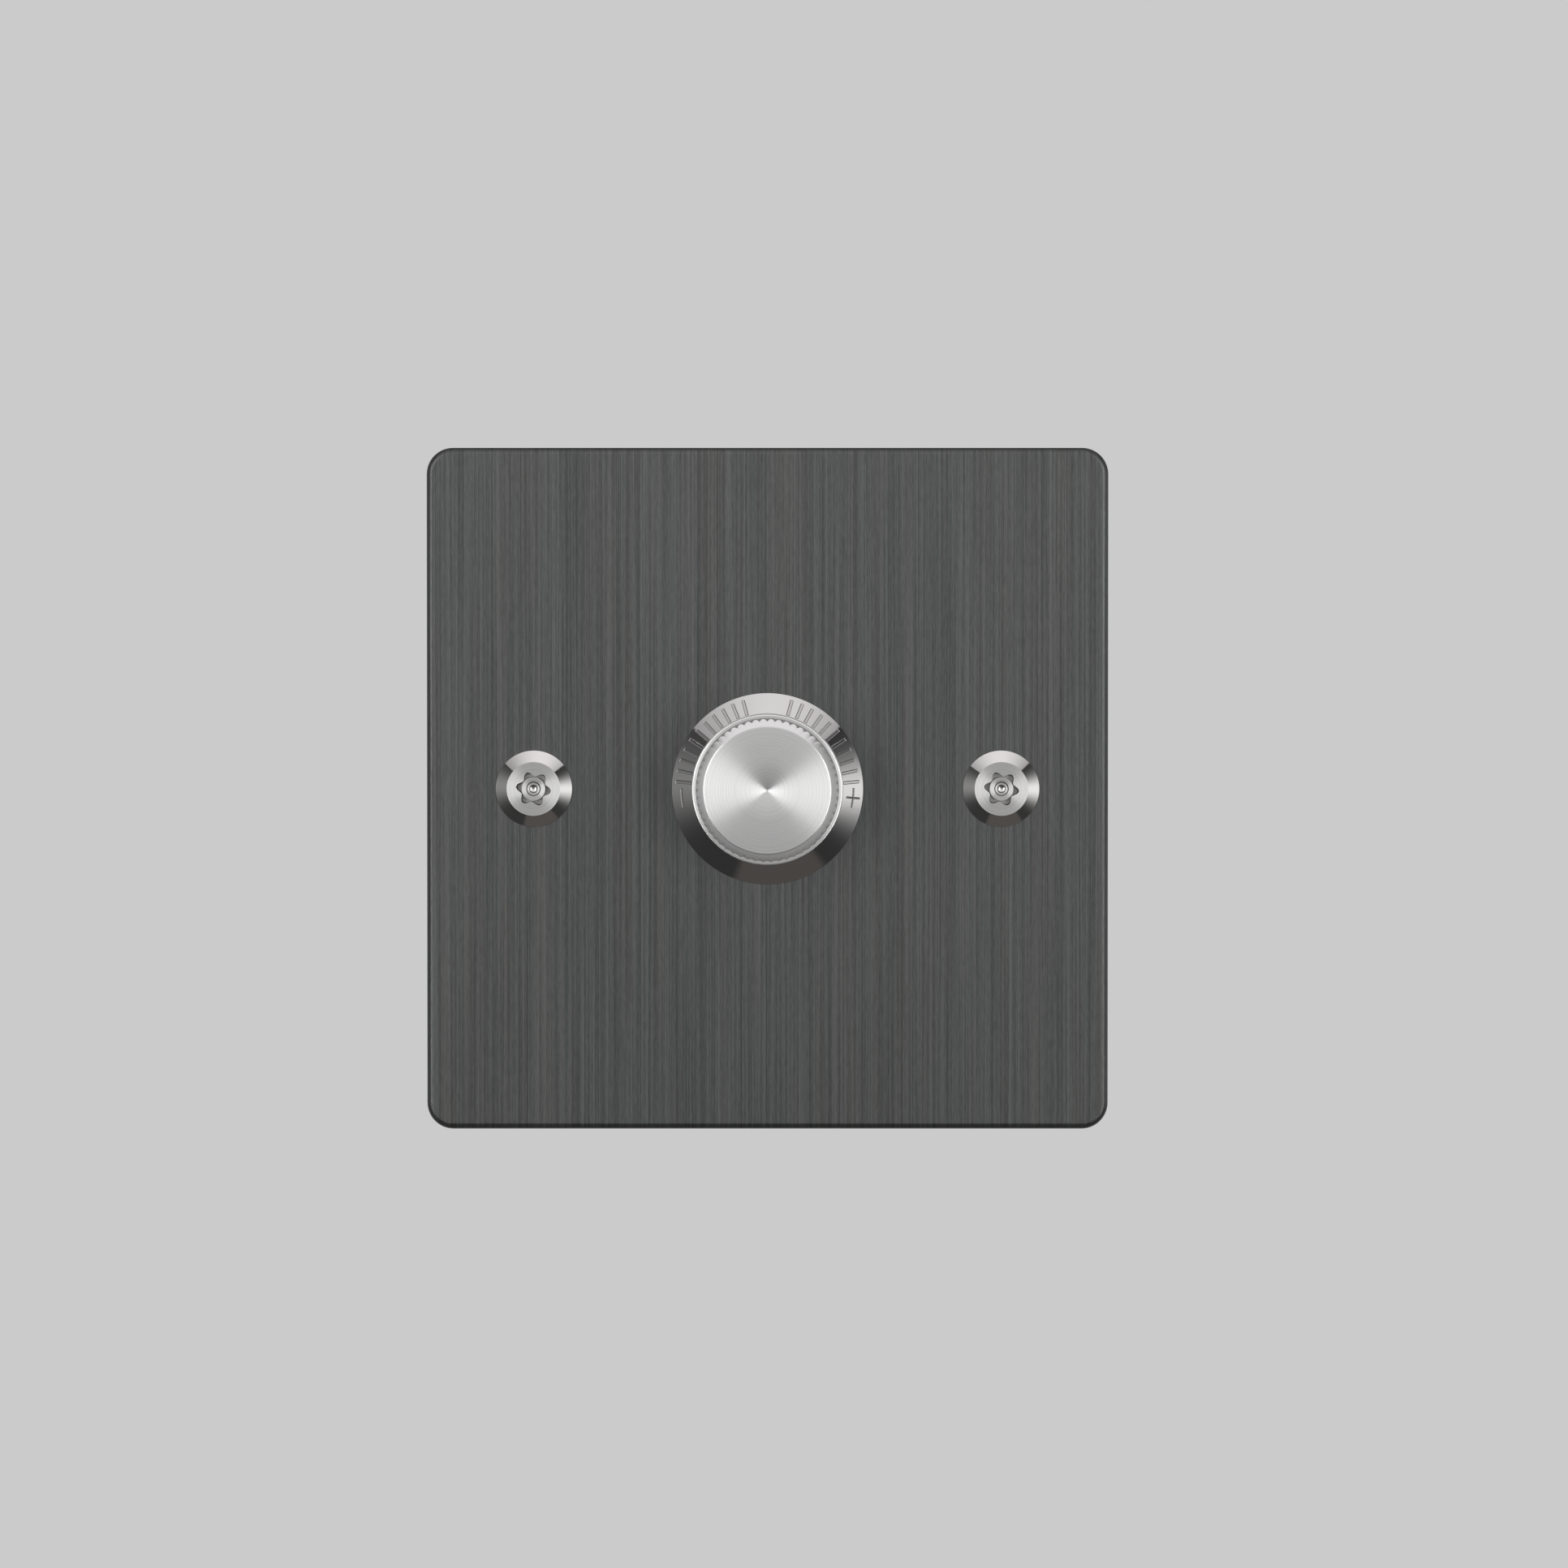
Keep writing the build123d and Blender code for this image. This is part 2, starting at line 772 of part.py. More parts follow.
def main_board():
    width = case_inner_width - 2 * board_edge_gap
    height = case_inner_height - 2 * board_edge_gap
    board = rounded_block(width, height, case_inner_radius, board_back, board_front)
    window = switch_side + 2 * slide_gap
    board -= block(window, window, board_back, board_front)
    holes = [(place, lead_radius) for place in lead_places()]
    holes += [(place, pin_radius) for place in wafer_pin_places]
    holes += [((x, terminal_y), tail_radius) for x in terminal_xs]
    holes += [(place, boss_radius) for place in boss_places]
    for (x, y), radius in holes:
        board -= disc(radius + lead_hole_gap, board_back, board_front, x, y)
    square = strap_width + 2 * lead_hole_gap
    slots = [(side * post_spacing / 2, 0, square) for side in (-1, 1)]
    square = leg_width + 2 * lead_hole_gap
    slots += [(side * transistor_x + n * pin_pitch, leg_y, square) for side in (-1, 1) for n in (-1, 0, 1)]
    for x, y, side in slots:
        board -= block(side, side, board_back, board_front, x, y)
    return board


def choke_core():
    top = board_back - winding_build
    core = disc(core_outer_radius, top - core_height, top) - disc(core_inner_radius, top - core_height, top)
    return Pos(0, choke_y, 0) * core


def choke_winding():
    """Two coils wound on opposite sides of the ring core, each with a lead to the board."""
    core_top = board_back - winding_build
    core_low = core_top - core_height
    low = core_low - winding_build
    inner, outer = core_inner_radius - winding_build, choke_reach
    sheath = Pos((inner + outer) / 2, 0, (low + board_back) / 2) * Rot(90, 0, 0)
    section = sheath * Rectangle(outer - inner, board_back - low)
    room = core_outer_radius - core_inner_radius + 2 * seat_gap
    section -= sheath * Rectangle(room, core_height + 2 * seat_gap)
    coil = Rot(0, 0, -winding_angle / 2) * revolve(section, Axis.Z, winding_angle)
    coil += disc(lead_radius, core_top + seat_gap, solder_end, x=core_middle_radius)
    coil = Pos(0, choke_y, 0) * coil
    return Compound(children=[coil, mirror(coil, Plane.YZ)])


def film_capacitor():
    low = board_back - film_height
    body = block(film_width, film_breadth, low, board_back)
    edges = body.edges().filter_by(Axis.Z) + body.faces().sort_by(Axis.Z)[0].edges()
    body = fillet(edges, film_edge_radius)
    for side in (-1, 1):
        body += disc(lead_radius, board_back, solder_end, x=side * film_pin_spacing / 2)
    return Pos(film_x, film_y, 0) * body


def smoothing_capacitor():
    """Round can with a rolled bead near the board."""
    low = board_back - can_capacitor_height
    bead = board_back - 2 * can_capacitor_bead_depth
    neck = can_capacitor_radius - can_capacitor_bead_depth
    body = turned(
        (0, low),
        (neck, low),
        (can_capacitor_radius, low + can_capacitor_bead_depth),
        (can_capacitor_radius, bead - 2 * can_capacitor_bead_depth),
        (neck, bead - can_capacitor_bead_depth),
        (can_capacitor_radius, bead),
        (can_capacitor_radius, board_back),
        (0, board_back),
    )
    for side in (-1, 1):
        body += disc(lead_radius, board_back, solder_end, x=side * can_capacitor_pin_spacing / 2)
    return Pos(can_capacitor_x, can_capacitor_y, 0) * body


def fuse():
    """Round body lying on the board's back, with its leads bent through the board."""
    axis = board_back - fuse_radius
    body = Pos(0, 0, axis) * Rot(90, 0, 0) * Cylinder(fuse_radius, fuse_length)
    for side in (-1, 1):
        end = (0, side * fuse_length / 2, axis)
        corner = (0, side * fuse_lead_y, axis)
        path = FilletPolyline(end, corner, (0, side * fuse_lead_y, solder_end), radius=fuse_lead_bend)
        body += sweep(Plane(path @ 0, z_dir=path % 0) * Circle(lead_radius), path=path)
    return Pos(fuse_x, fuse_y, 0) * body


def control_chip():
    """Small package with gull legs that stand on the board's back."""
    top = board_back - chip_stand
    chip = block(chip_width, chip_length, top - chip_height, top)
    middle = top - chip_height / 2
    for n in range(chip_leg_count):
        y = (n - (chip_leg_count - 1) / 2) * chip_leg_pitch
        for side in (-1, 1):
            root = side * chip_width / 2
            knee = root + side * chip_leg_reach / 2
            half = chip_leg_thickness / 2
            shoulder = chip_leg_reach / 2 + half
            shoulder_x = root + side * shoulder / 2
            chip += block(shoulder, chip_leg_width, middle - half, middle + half, shoulder_x, y)
            chip += block(chip_leg_thickness, chip_leg_width, middle - half, board_back, knee, y)
            foot_x = knee + side * chip_leg_reach / 4
            foot_low = board_back - chip_leg_thickness
            chip += block(chip_leg_reach / 2, chip_leg_width, foot_low, board_back, foot_x, y)
    return Pos(chip_x, chip_y, 0) * chip


# Rear case and terminals


def rear_case():
    """Moulded box with a step cut out below for the terminals, and bosses that carry the board."""
    case = rounded_block(module_width, module_height, module_corner_radius, case_back, sink_back)
    case = fillet(case.faces().sort_by(Axis.Z)[0].edges(), case_edge_radius)
    bay_y = bay_top - terminal_bay_height / 2
    case -= block(module_width, terminal_bay_height, case_back, bay_seat, y=bay_y)
    hollow = rounded_block(case_inner_width, case_inner_height, case_inner_radius, board_back, sink_back)
    deep_low = bay_top + case_wall
    deep = rounded_block(case_inner_width, case_inner_height, case_inner_radius, case_floor, board_back)
    lower = deep_low + case_inner_height / 2
    deep -= block(case_inner_width, lower, case_floor, board_back, y=deep_low - lower / 2)
    case -= hollow + deep
    for x, y in boss_places:
        if y > deep_low:
            case += disc(boss_radius + boss_step, case_floor, board_back, x, y)
        case += disc(boss_radius, board_back, sink_back, x, y)
    tip = plate_seat - case_screw_length
    for x, y in boss_places:
        case -= disc(case_screw_radius + seat_gap, tip - stop_gap, sink_back, x, y)
    for x in terminal_xs:
        case -= disc(tail_radius + lead_hole_gap, bay_seat, board_back, x, terminal_y)
    return case


def terminal_block():
    """Moulded comb that stands in the case's step, open below and behind."""
    width = len(terminal_xs) * terminal_pitch + terminal_barrier
    middle = bay_top - terminal_bay_height / 2
    comb = block(width, terminal_bay_height, terminal_seat, bay_seat, y=middle)
    back_wall_y = bay_top - terminal_back_wall / 2
    comb += block(width, terminal_back_wall, case_back, terminal_seat, y=back_wall_y)
    barrier_xs = [(n - 1.5) * terminal_pitch for n in range(len(terminal_xs) + 1)]
    for x in barrier_xs:
        comb += block(terminal_barrier, terminal_bay_height, case_back, terminal_seat, x, middle)
    for x in terminal_xs:
        comb -= disc(tail_radius + seat_gap, terminal_seat, bay_seat, x, terminal_y)
    return comb


def terminal():
    """Brass block with a wire hole from below, a clamp-screw hole from behind and a tail to the board."""
    low = terminal_seat - terminal_depth
    brass = block(terminal_side, terminal_side, low, terminal_seat, y=terminal_y)
    brass = chamfer(brass.edges().filter_by(Axis.Z), lead_radius)
    wire_y = terminal_low + wire_depth / 2
    brass -= Pos(0, wire_y, wire_axis) * Rot(90, 0, 0) * Cylinder(wire_radius, wire_depth)
    brass -= disc(clamp_screw_radius + seat_gap, low, wire_axis, y=terminal_y)
    return brass + disc(tail_radius, terminal_seat, solder_end, y=terminal_y)


def line_terminal():
    return Pos(terminal_xs[0], 0, 0) * terminal()


def two_way_terminal():
    return Pos(terminal_xs[1], 0, 0) * terminal()


def load_terminal():
    return Pos(terminal_xs[2], 0, 0) * terminal()


def clamp_screw(tip, back):
    """Headless slotted screw, backed off clear of the wire hole."""
    screw = disc(clamp_screw_radius, back, tip)
    return screw - block(2 * clamp_screw_radius, screw_slot_width, back, back + screw_slot_depth)


def terminal_screws():
    tip = wire_axis - wire_radius - clamp_screw_back_off
    back = terminal_seat - terminal_depth - clamp_screw_stand
    return placed(clamp_screw(tip, back), [(x, terminal_y) for x in terminal_xs])


def earth_terminal():
    """Brass block riveted to the back of the plate, with its wire hole from above."""
    low = plate_seat - earth_depth
    brass = block(earth_side, earth_side, low, plate_seat)
    brass = chamfer(brass.edges().filter_by(Axis.Z), lead_radius)
    axis = plate_seat - earth_wire_drop
    wire_y = (earth_side - earth_wire_depth) / 2
    brass -= Pos(0, wire_y, axis) * Rot(90, 0, 0) * Cylinder(wire_radius, earth_wire_depth)
    brass -= disc(clamp_screw_radius + seat_gap, low, axis)
    brass += disc(earth_spigot_radius, plate_seat, plate_seat + earth_spigot_length)
    return Pos(0, earth_y, 0) * brass


def earth_screw():
    tip = plate_seat - earth_wire_drop - wire_radius - clamp_screw_back_off
    back = plate_seat - earth_depth - clamp_screw_stand
    return Pos(0, earth_y, 0) * clamp_screw(tip, back)


PIECES = [
    face_plate,
    fixing_screws,
    dial_ring,
    control_knob,
    knob_insert,
    lock_washer,
    lock_nut,
    threaded_bush,
    control_shaft,
    shaft_clip,
    pot_cover,
    wiper_rotor,
    wiper_spring,
    track_wafer,
    wafer_pins,
    switch_case,
    switch_base,
    switch_plunger,
    contact_bridge,
    return_spring,
    fixed_contacts,
    heat_sink_plate,
    case_screws,
    thermal_pads,
    power_transistors,
    transistor_screws,
    main_board,
    choke_core,
    choke_winding,
    film_capacitor,
    smoothing_capacitor,
    fuse,
    control_chip,
    rear_case,
    terminal_block,
    line_terminal,
    two_way_terminal,
    load_terminal,
    terminal_screws,
    earth_terminal,
    earth_screw,
]


def main():
    os.makedirs("parts", exist_ok=True)
    for piece in PIECES:
        export_step(Rot(90, 0, 0) * piece(), f"parts/{piece.__name__}.step")


main()
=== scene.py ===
import json
from math import asin, cos, pi, radians, sin, tau
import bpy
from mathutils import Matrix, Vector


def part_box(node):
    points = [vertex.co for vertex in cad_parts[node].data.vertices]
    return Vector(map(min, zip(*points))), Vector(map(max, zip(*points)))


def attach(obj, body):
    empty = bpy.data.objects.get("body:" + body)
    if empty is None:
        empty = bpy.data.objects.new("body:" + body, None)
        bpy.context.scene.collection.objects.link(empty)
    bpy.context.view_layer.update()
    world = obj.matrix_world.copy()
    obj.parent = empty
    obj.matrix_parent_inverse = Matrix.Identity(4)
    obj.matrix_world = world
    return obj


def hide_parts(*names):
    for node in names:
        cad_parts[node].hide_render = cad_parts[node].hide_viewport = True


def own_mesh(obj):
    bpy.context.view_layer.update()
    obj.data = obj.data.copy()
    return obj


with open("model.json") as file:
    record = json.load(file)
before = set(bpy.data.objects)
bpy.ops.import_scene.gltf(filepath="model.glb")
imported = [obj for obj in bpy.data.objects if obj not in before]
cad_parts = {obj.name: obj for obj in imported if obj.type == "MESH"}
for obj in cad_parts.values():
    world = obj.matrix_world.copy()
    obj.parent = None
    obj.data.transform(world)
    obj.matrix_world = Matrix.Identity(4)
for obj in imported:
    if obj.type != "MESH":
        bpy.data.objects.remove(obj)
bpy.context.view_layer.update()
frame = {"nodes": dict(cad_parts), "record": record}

from types import SimpleNamespace

import bmesh
import bpy
from bpy.props import FloatProperty, FloatVectorProperty, IntProperty, PointerProperty
from bpy.types import Operator, Panel, PropertyGroup
from mathutils import Matrix, Vector
from mathutils.geometry import tessellate_polygon

bl_info = {
    "name": "Rotary Dimmer Switch",
    "version": (1, 0, 0),
    "blender": (4, 5, 0),
    "location": "3D View > Sidebar > Dimmer",
    "description": "Builds the finished pieces of a rotary dimmer switch round its packed frame",
    "category": "Mesh",
}

SLOTS = {row["node"]: row["material_slot"] for row in frame["record"]["subparts"]}

# Pieces are drawn as seen by someone who faces the wall: x right, y up, z out of the wall.
# This turns them upright.
UPRIGHT = Matrix.Rotation(radians(90), 4, "X")
MILLIMETRE = 0.001
WELD = 1e-7  # points nearer than this are one point
SHARP_ANGLE = radians(32)
FINE_ANGLE = radians(12)  # pieces with shallow cuts keep more of their edges
BLACK, WHITE = (0.0, 0.0, 0.0), (1.0, 1.0, 1.0)


def extent(node):
    """A node's reach to each side, as seen by someone who faces the wall."""
    low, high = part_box(node)
    return SimpleNamespace(left=low.x, right=high.x, bottom=low.z, top=high.z, back=-high.y, front=-low.y)


PLATE = extent("face_plate")
SCREWS = extent("fixing_screws")
DIAL = extent("dial_ring")
KNOB = extent("control_knob")
SPRING = extent("return_spring")
EARTH = extent("earth_terminal")
CHOKE = extent("choke_core")
CHOKE_TURNS = 84
BOARD_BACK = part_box("main_board")[1].y
SCREW_X = SCREWS.right - SCREWS.top  # the screws lie at height 0, so their top is a head's radius
INSIDE_KNOB = ("knob_insert", "control_shaft", "threaded_bush", "lock_nut", "lock_washer")


# Settings


def length(name, default, description):
    return FloatProperty(
        name=name, description=description, default=default, min=0.0, precision=5, unit="LENGTH"
    )


def turn(name, degrees, description):
    return FloatProperty(
        name=name, description=description, default=radians(degrees), subtype="ANGLE", unit="ROTATION"
    )


def level(name, default, description):
    return FloatProperty(name=name, description=description, default=default, min=0.0)


def count(name, default, description):
    return IntProperty(name=name, description=description, default=default, min=1)


def colour(name, default, description):
    return FloatVectorProperty(
        name=name, description=description, default=default, size=3, min=0.0, max=1.0, subtype="COLOR"
    )


class PlateSizes(PropertyGroup):
    """Sizes of the face plate that its box doesn't give"""

    corner_radius: length("Corner radius", 0.0034, "Radius of the four corners seen from the front")
    edge_radius: length("Edge radius", 0.0008, "Rounding of the front edge")
    relief_depth: length("Relief depth", 0.0005, "How far the back is hollowed inside its rim")
    relief_rim: length("Relief rim", 0.006, "Width of the rim that lies on the wall")
    relief_corner: length("Relief corner", 0.002, "Corner radius of the hollow in the back")
    centre_hole: length("Centre hole", 0.01022, "Radius of the hole for the dial ring's spigot")
    key_width: length("Key notch width", 0.00204, "Width of the notch under the centre hole")
    key_reach: length("Key notch reach", 0.01102, "Distance from the centre to the end of the notch")
    screw_hole: length("Screw hole", 0.00195, "Radius of the two screw holes")
    earth_hole: length("Earth hole", 0.00152, "Radius of the blind hole for the earth terminal")
    earth_hole_depth: length("Earth hole depth", 0.0015, "Depth of that hole, from the hollow's floor")


class ScrewSizes(PropertyGroup):
    """Sizes of the two fixing screws"""

    rim_height: length("Rim height", 0.0002, "Upright edge of the head, where it meets the plate")
    top_radius: length("Top radius", 0.00346, "Radius of the head's flat top")
    lobe_tip: length("Lobe tip", 0.00225, "Radius of the six-lobe recess at its tips")
    lobe_root: length("Lobe root", 0.00162, "Radius of the recess between its lobes")
    lobe_turn: turn("Lobe turn", -8.0, "Turn of the recess about the screw's axis")
    recess_depth: length("Recess depth", 0.001, "Depth of the recess")
    pin_radius: length("Pin radius", 0.00152, "Radius of the pin in the middle of the recess")
    pin_drop: length("Pin drop", 0.00012, "How far the pin's top lies below the head's top")
    dimple_radius: length("Dimple radius", 0.00105, "Radius of the turned hollow in the pin")
    dimple_depth: length("Dimple depth", 0.0003, "Depth of that hollow")
    neck_radius: length("Neck radius", 0.0015, "Radius of the plain neck inside the plate")
    neck_end: length("Neck end", 0.0002, "Height above the wall at which the thread starts")
    thread_radius: length("Thread radius", 0.00175, "Radius of the thread's crest")
    thread_pitch: length("Thread pitch", 0.0006, "Distance from crest to crest")
    thread_depth: length("Thread depth", 0.00036, "Depth of the thread's groove")
    point_bevel: length("Point bevel", 0.0006, "Bevel at the screw's point")


class DialSizes(PropertyGroup):
    """Sizes of the dial ring and its engraving"""

    rim_height: length("Rim height", 0.0002, "Upright edge of the ring, where it meets the plate")
    top_radius: length("Top radius", 0.00975, "Radius at which the cone ends in front")
    bore_radius: length("Bore radius", 0.00935, "Radius of the opening round the knob's neck")
    web_top: length("Web front", 0.0014, "Height of the web's front face above the wall")
    web_bore: length("Web bore", 0.00502, "Radius of the hole for the threaded bush")
    spigot_radius: length("Spigot radius", 0.0102, "Radius of the spigot inside the plate")
    key_width: length("Key width", 0.002, "Width of the key under the spigot")
    key_reach: length("Key reach", 0.0008, "How far the key stands out of the spigot")
    tick_count: count("Ticks", 11, "Ticks on each side of the dial")
    tick_first: turn("First tick", 15.5, "Turn of the first tick from the top")
    tick_pitch: turn("Tick pitch", 7.0, "Turn from one tick to the next")
    tick_inner: length("Tick inner end", 0.00985, "Radius of the ticks' inner end")
    tick_outer: length("Tick outer end", 0.0119, "Radius of the ticks' outer end")
    tick_width: length("Tick width", 0.00036, "Width of the ticks")
    line_width: length("Line width", 0.00018, "Width of the signs' lines")
    line_depth: length("Line depth", 0.000052, "Depth of the engraved lines")
    line_wall: length("Line wall", 0.00009, "Width of the sloping walls of the engraved lines")
    sign_turn: turn("Sign turn", 96.0, "Turn of the minus and plus signs from the top")
    sign_radius: length("Sign radius", 0.0111, "Distance of the signs from the axis")
    sign_across: length("Sign across", 0.00122, "Half the signs' bar that runs round the dial")
    sign_along: length("Sign along", 0.00085, "Half the plus sign's bar that runs out from the axis")


class KnobSizes(PropertyGroup):
    """Sizes of the control knob"""

    neck_radius: length("Neck radius", 0.00905, "Radius of the neck inside the dial ring")
    shoulder: length("Shoulder", 0.0071, "Height of the body's back face above the wall")
    land: length("Land", 0.01, "Height of the flat land in front of the body")
    edge: length("Edge", 0.00015, "Rounding of the body's edges")
    grip_radius: length("Grip radius", 0.0091, "Radius of the grip over its ridges")
    flute_count: count("Flutes", 56, "Number of ridges round the grip")
    flute_depth: length("Flute depth", 0.00033, "Depth of the valleys between the ridges")
    face_radius: length("Face radius", 0.00805, "Radius of the spun face")
    chamfer_drop: length("Chamfer drop", 0.0006, "How far the chamfer falls from the face to the ridges")
    face_edge: length("Face edge", 0.00006, "Rounding between the face and the chamfer")
    centre_mark: length("Centre mark", 0.00016, "Radius of the turning mark in the face's middle")
    cavity_radius: length("Cavity radius", 0.00723, "Radius of the room for the nut behind the knob")
    cavity_top: length("Cavity front", 0.0068, "Height of that room's front face above the wall")
    insert_radius: length("Insert hole", 0.00462, "Radius of the hole for the insert")
    insert_front: length("Insert end", 0.01362, "Height of that hole's end above the wall")


class SpringSizes(PropertyGroup):
    """Sizes of the return spring"""

    wire_radius: length("Wire radius", 0.00018, "Radius of the wire")
    turns: count("Turns", 5, "Turns of the coil, with its closed ends")
    travel: length("Travel", 0.0015, "How far the spring is pressed together")


class FinishColours(PropertyGroup):
    """Colours of the finishes"""

    plate_dark: colour("Plate, dark grain", (0.0580, 0.0581, 0.0581), "Dark lines of the brushed plate")
    plate_light: colour("Plate, light grain", (0.1140, 0.1139, 0.1140), "Light lines of the brushed plate")
    plate_cool: colour("Plate, cool streak", (0.972, 1.0, 0.996), "Faint green cast of some streaks")
    plate_warm: colour("Plate, warm streak", (1.0, 0.99, 0.972), "Faint brown cast of some streaks")
    screw: colour("Screw metal", (0.80, 0.79, 0.78), "Fixing screws")
    dial: colour("Dial metal", (0.68, 0.67, 0.665), "Dial ring")
    tick: colour("Tick", (0.56, 0.545, 0.54), "Engraved ticks of the dial ring")
    sign: colour("Sign", (0.28, 0.27, 0.265), "Engraved signs of the dial ring")
    recess: colour("Recess floor", (0.45, 0.44, 0.435), "Floor of the screws' recess")
    # painted shade: near-black walls of the screws' recess and dark rings in the pin's turned hollow
    recess_shade: colour("Recess shade", (0.12, 0.115, 0.11), "Walls of the screws' recess")
    facing: colour("Screw facing", (0.575, 0.57, 0.565), "Tops of the fixing screws")
    # painted shade: a dark ring on the flat land at the foot of the knob's ridges stands for the shade in
    # the valleys
    dull_and_shade: colour("Ridge foot shade", (0.30, 0.295, 0.29), "Foot of the knob's ridges")
    spun: colour("Spun metal", (0.70, 0.697, 0.693), "Face and land of the control knob")
    satin: colour("Satin metal", (0.74, 0.737, 0.733), "Chamfer and ridges of the control knob")
    brass: colour("Brass", (0.62, 0.41, 0.15), "Terminals, bush and insert")
    zinc: colour("Zinc plate", (0.60, 0.60, 0.58), "Small steel pieces")
    spring: colour("Spring steel", (0.42, 0.42, 0.44), "Spring and clip")
    aluminium: colour("Aluminium", (0.70, 0.71, 0.72), "Heat-sink plate")
    black: colour("Black moulding", (0.022, 0.022, 0.024), "Rear case")
    white: colour("White moulding", (0.70, 0.69, 0.65), "Terminal block and switch")
    laminate: colour("Laminate", (0.22, 0.11, 0.045), "Wafer and switch base")
    lacquer: colour("Board lacquer", (0.02, 0.13, 0.05), "Main board")
    copper: colour("Copper wire", (0.60, 0.23, 0.09), "Choke winding")
    ferrite: colour("Ferrite", (0.07, 0.07, 0.075), "Choke core")
    box: colour("Capacitor box", (0.72, 0.48, 0.05), "Film capacitor")
    sleeve: colour("Sleeve", (0.02, 0.025, 0.06), "Smoothing capacitor")
    pad: colour("Thermal pad", (0.36, 0.37, 0.38), "Sheets under the transistors")
    ceramic: colour("Ceramic", (0.55, 0.48, 0.37), "Fuse")
    tin: colour("Tinned lead", (0.62, 0.62, 0.60), "Leads of the parts on the board")


class StageSettings(PropertyGroup):
    """Camera, lamps and floor"""

    backdrop: colour("Backdrop", (0.597, 0.597, 0.597), "Plain grey all round")
    card_lift: level("Card lift", 0.85, "How much brighter the front card is at its top than in its middle")
    floor: colour("Floor", (0.66, 0.66, 0.66), "Pale floor")
    floor_drop: length("Floor drop", 0.15, "How far the floor lies below the plate's centre")
    floor_radius: length("Floor radius", 0.26, "Where the floor has faded into the backdrop")
    camera_distance: length("Camera distance", 0.69, "From the plate's front to the camera")
    camera_turn: turn("Camera turn", 0.0, "How far the camera stands to the right")
    camera_lift: turn("Camera lift", 1.05, "How far the camera stands above the middle")
    aim_right: length("Aim right", 0.00213, "The picture's middle, to the right of the plate's centre")
    aim_up: length("Aim up", 0.00061, "The picture's middle, above the plate's centre")
    picture_width: length("Picture width", 0.2024, "Width of the picture at the plate's front")
    panel: level("Overhead panel", 1.04, "Brightness of the panel above, in its middle")
    strip: level("Side strips", 7.3, "Brightness of the two strip lamps beside the camera")
    surround: level("Surround", 0.04, "Brightness of the dark surround")
    right_glow: level("Right glow", 0.97, "Brightness of the soft patch at the right")
    left_glow: level("Left glow", 0.24, "Brightness of the soft patch at the left")
    lower_glow: level("Lower glow", 0.055, "Brightness of the faint patch below")


class DimmerSettings(PropertyGroup):
    """Everything that can be set on the dimmer switch"""

    plate: PointerProperty(type=PlateSizes)
    screws: PointerProperty(type=ScrewSizes)
    dial: PointerProperty(type=DialSizes)
    knob: PointerProperty(type=KnobSizes)
    spring: PointerProperty(type=SpringSizes)
    colours: PointerProperty(type=FinishColours)
    stage: PointerProperty(type=StageSettings)


# Shader nodes


class Wire:
    """A shader socket that works in Python sums: each operator adds a Math node to its tree."""

    def __init__(self, tree, socket):
        self.tree = tree
        self.socket = socket

    def math(self, operation, *values):
        return self.tree.node("ShaderNodeMath", {"operation": operation}, dict(enumerate(values)))

    def __add__(self, other):
        return self.math("ADD", self, other)

    def __radd__(self, other):
        return self.math("ADD", other, self)

    def __sub__(self, other):
        return self.math("SUBTRACT", self, other)

    def __rsub__(self, other):
        return self.math("SUBTRACT", other, self)

    def __mul__(self, other):
        return self.math("MULTIPLY", self, other)

    def __rmul__(self, other):
        return self.math("MULTIPLY", other, self)

    def __truediv__(self, other):
        return self.math("DIVIDE", self, other)

    def __rtruediv__(self, other):
        return self.math("DIVIDE", other, self)

    def __pow__(self, other):
        return self.math("POWER", self, other)

    def __rpow__(self, other):
        return self.math("POWER", other, self)

    def __lt__(self, other):
        return self.math("LESS_THAN", self, other)

    def __gt__(self, other):
        return self.math("GREATER_THAN", self, other)

    def above(self, low):
        return self.math("MAXIMUM", self, low)

    def root(self):
        return self.math("SQRT", self)

    def hypot(self, other):
        return (self * self + other * other).root()

    def wave(self):
        return self.math("SINE", self)

    def angle_to(self, across):
        return self.math("ARCTAN2", self, across)


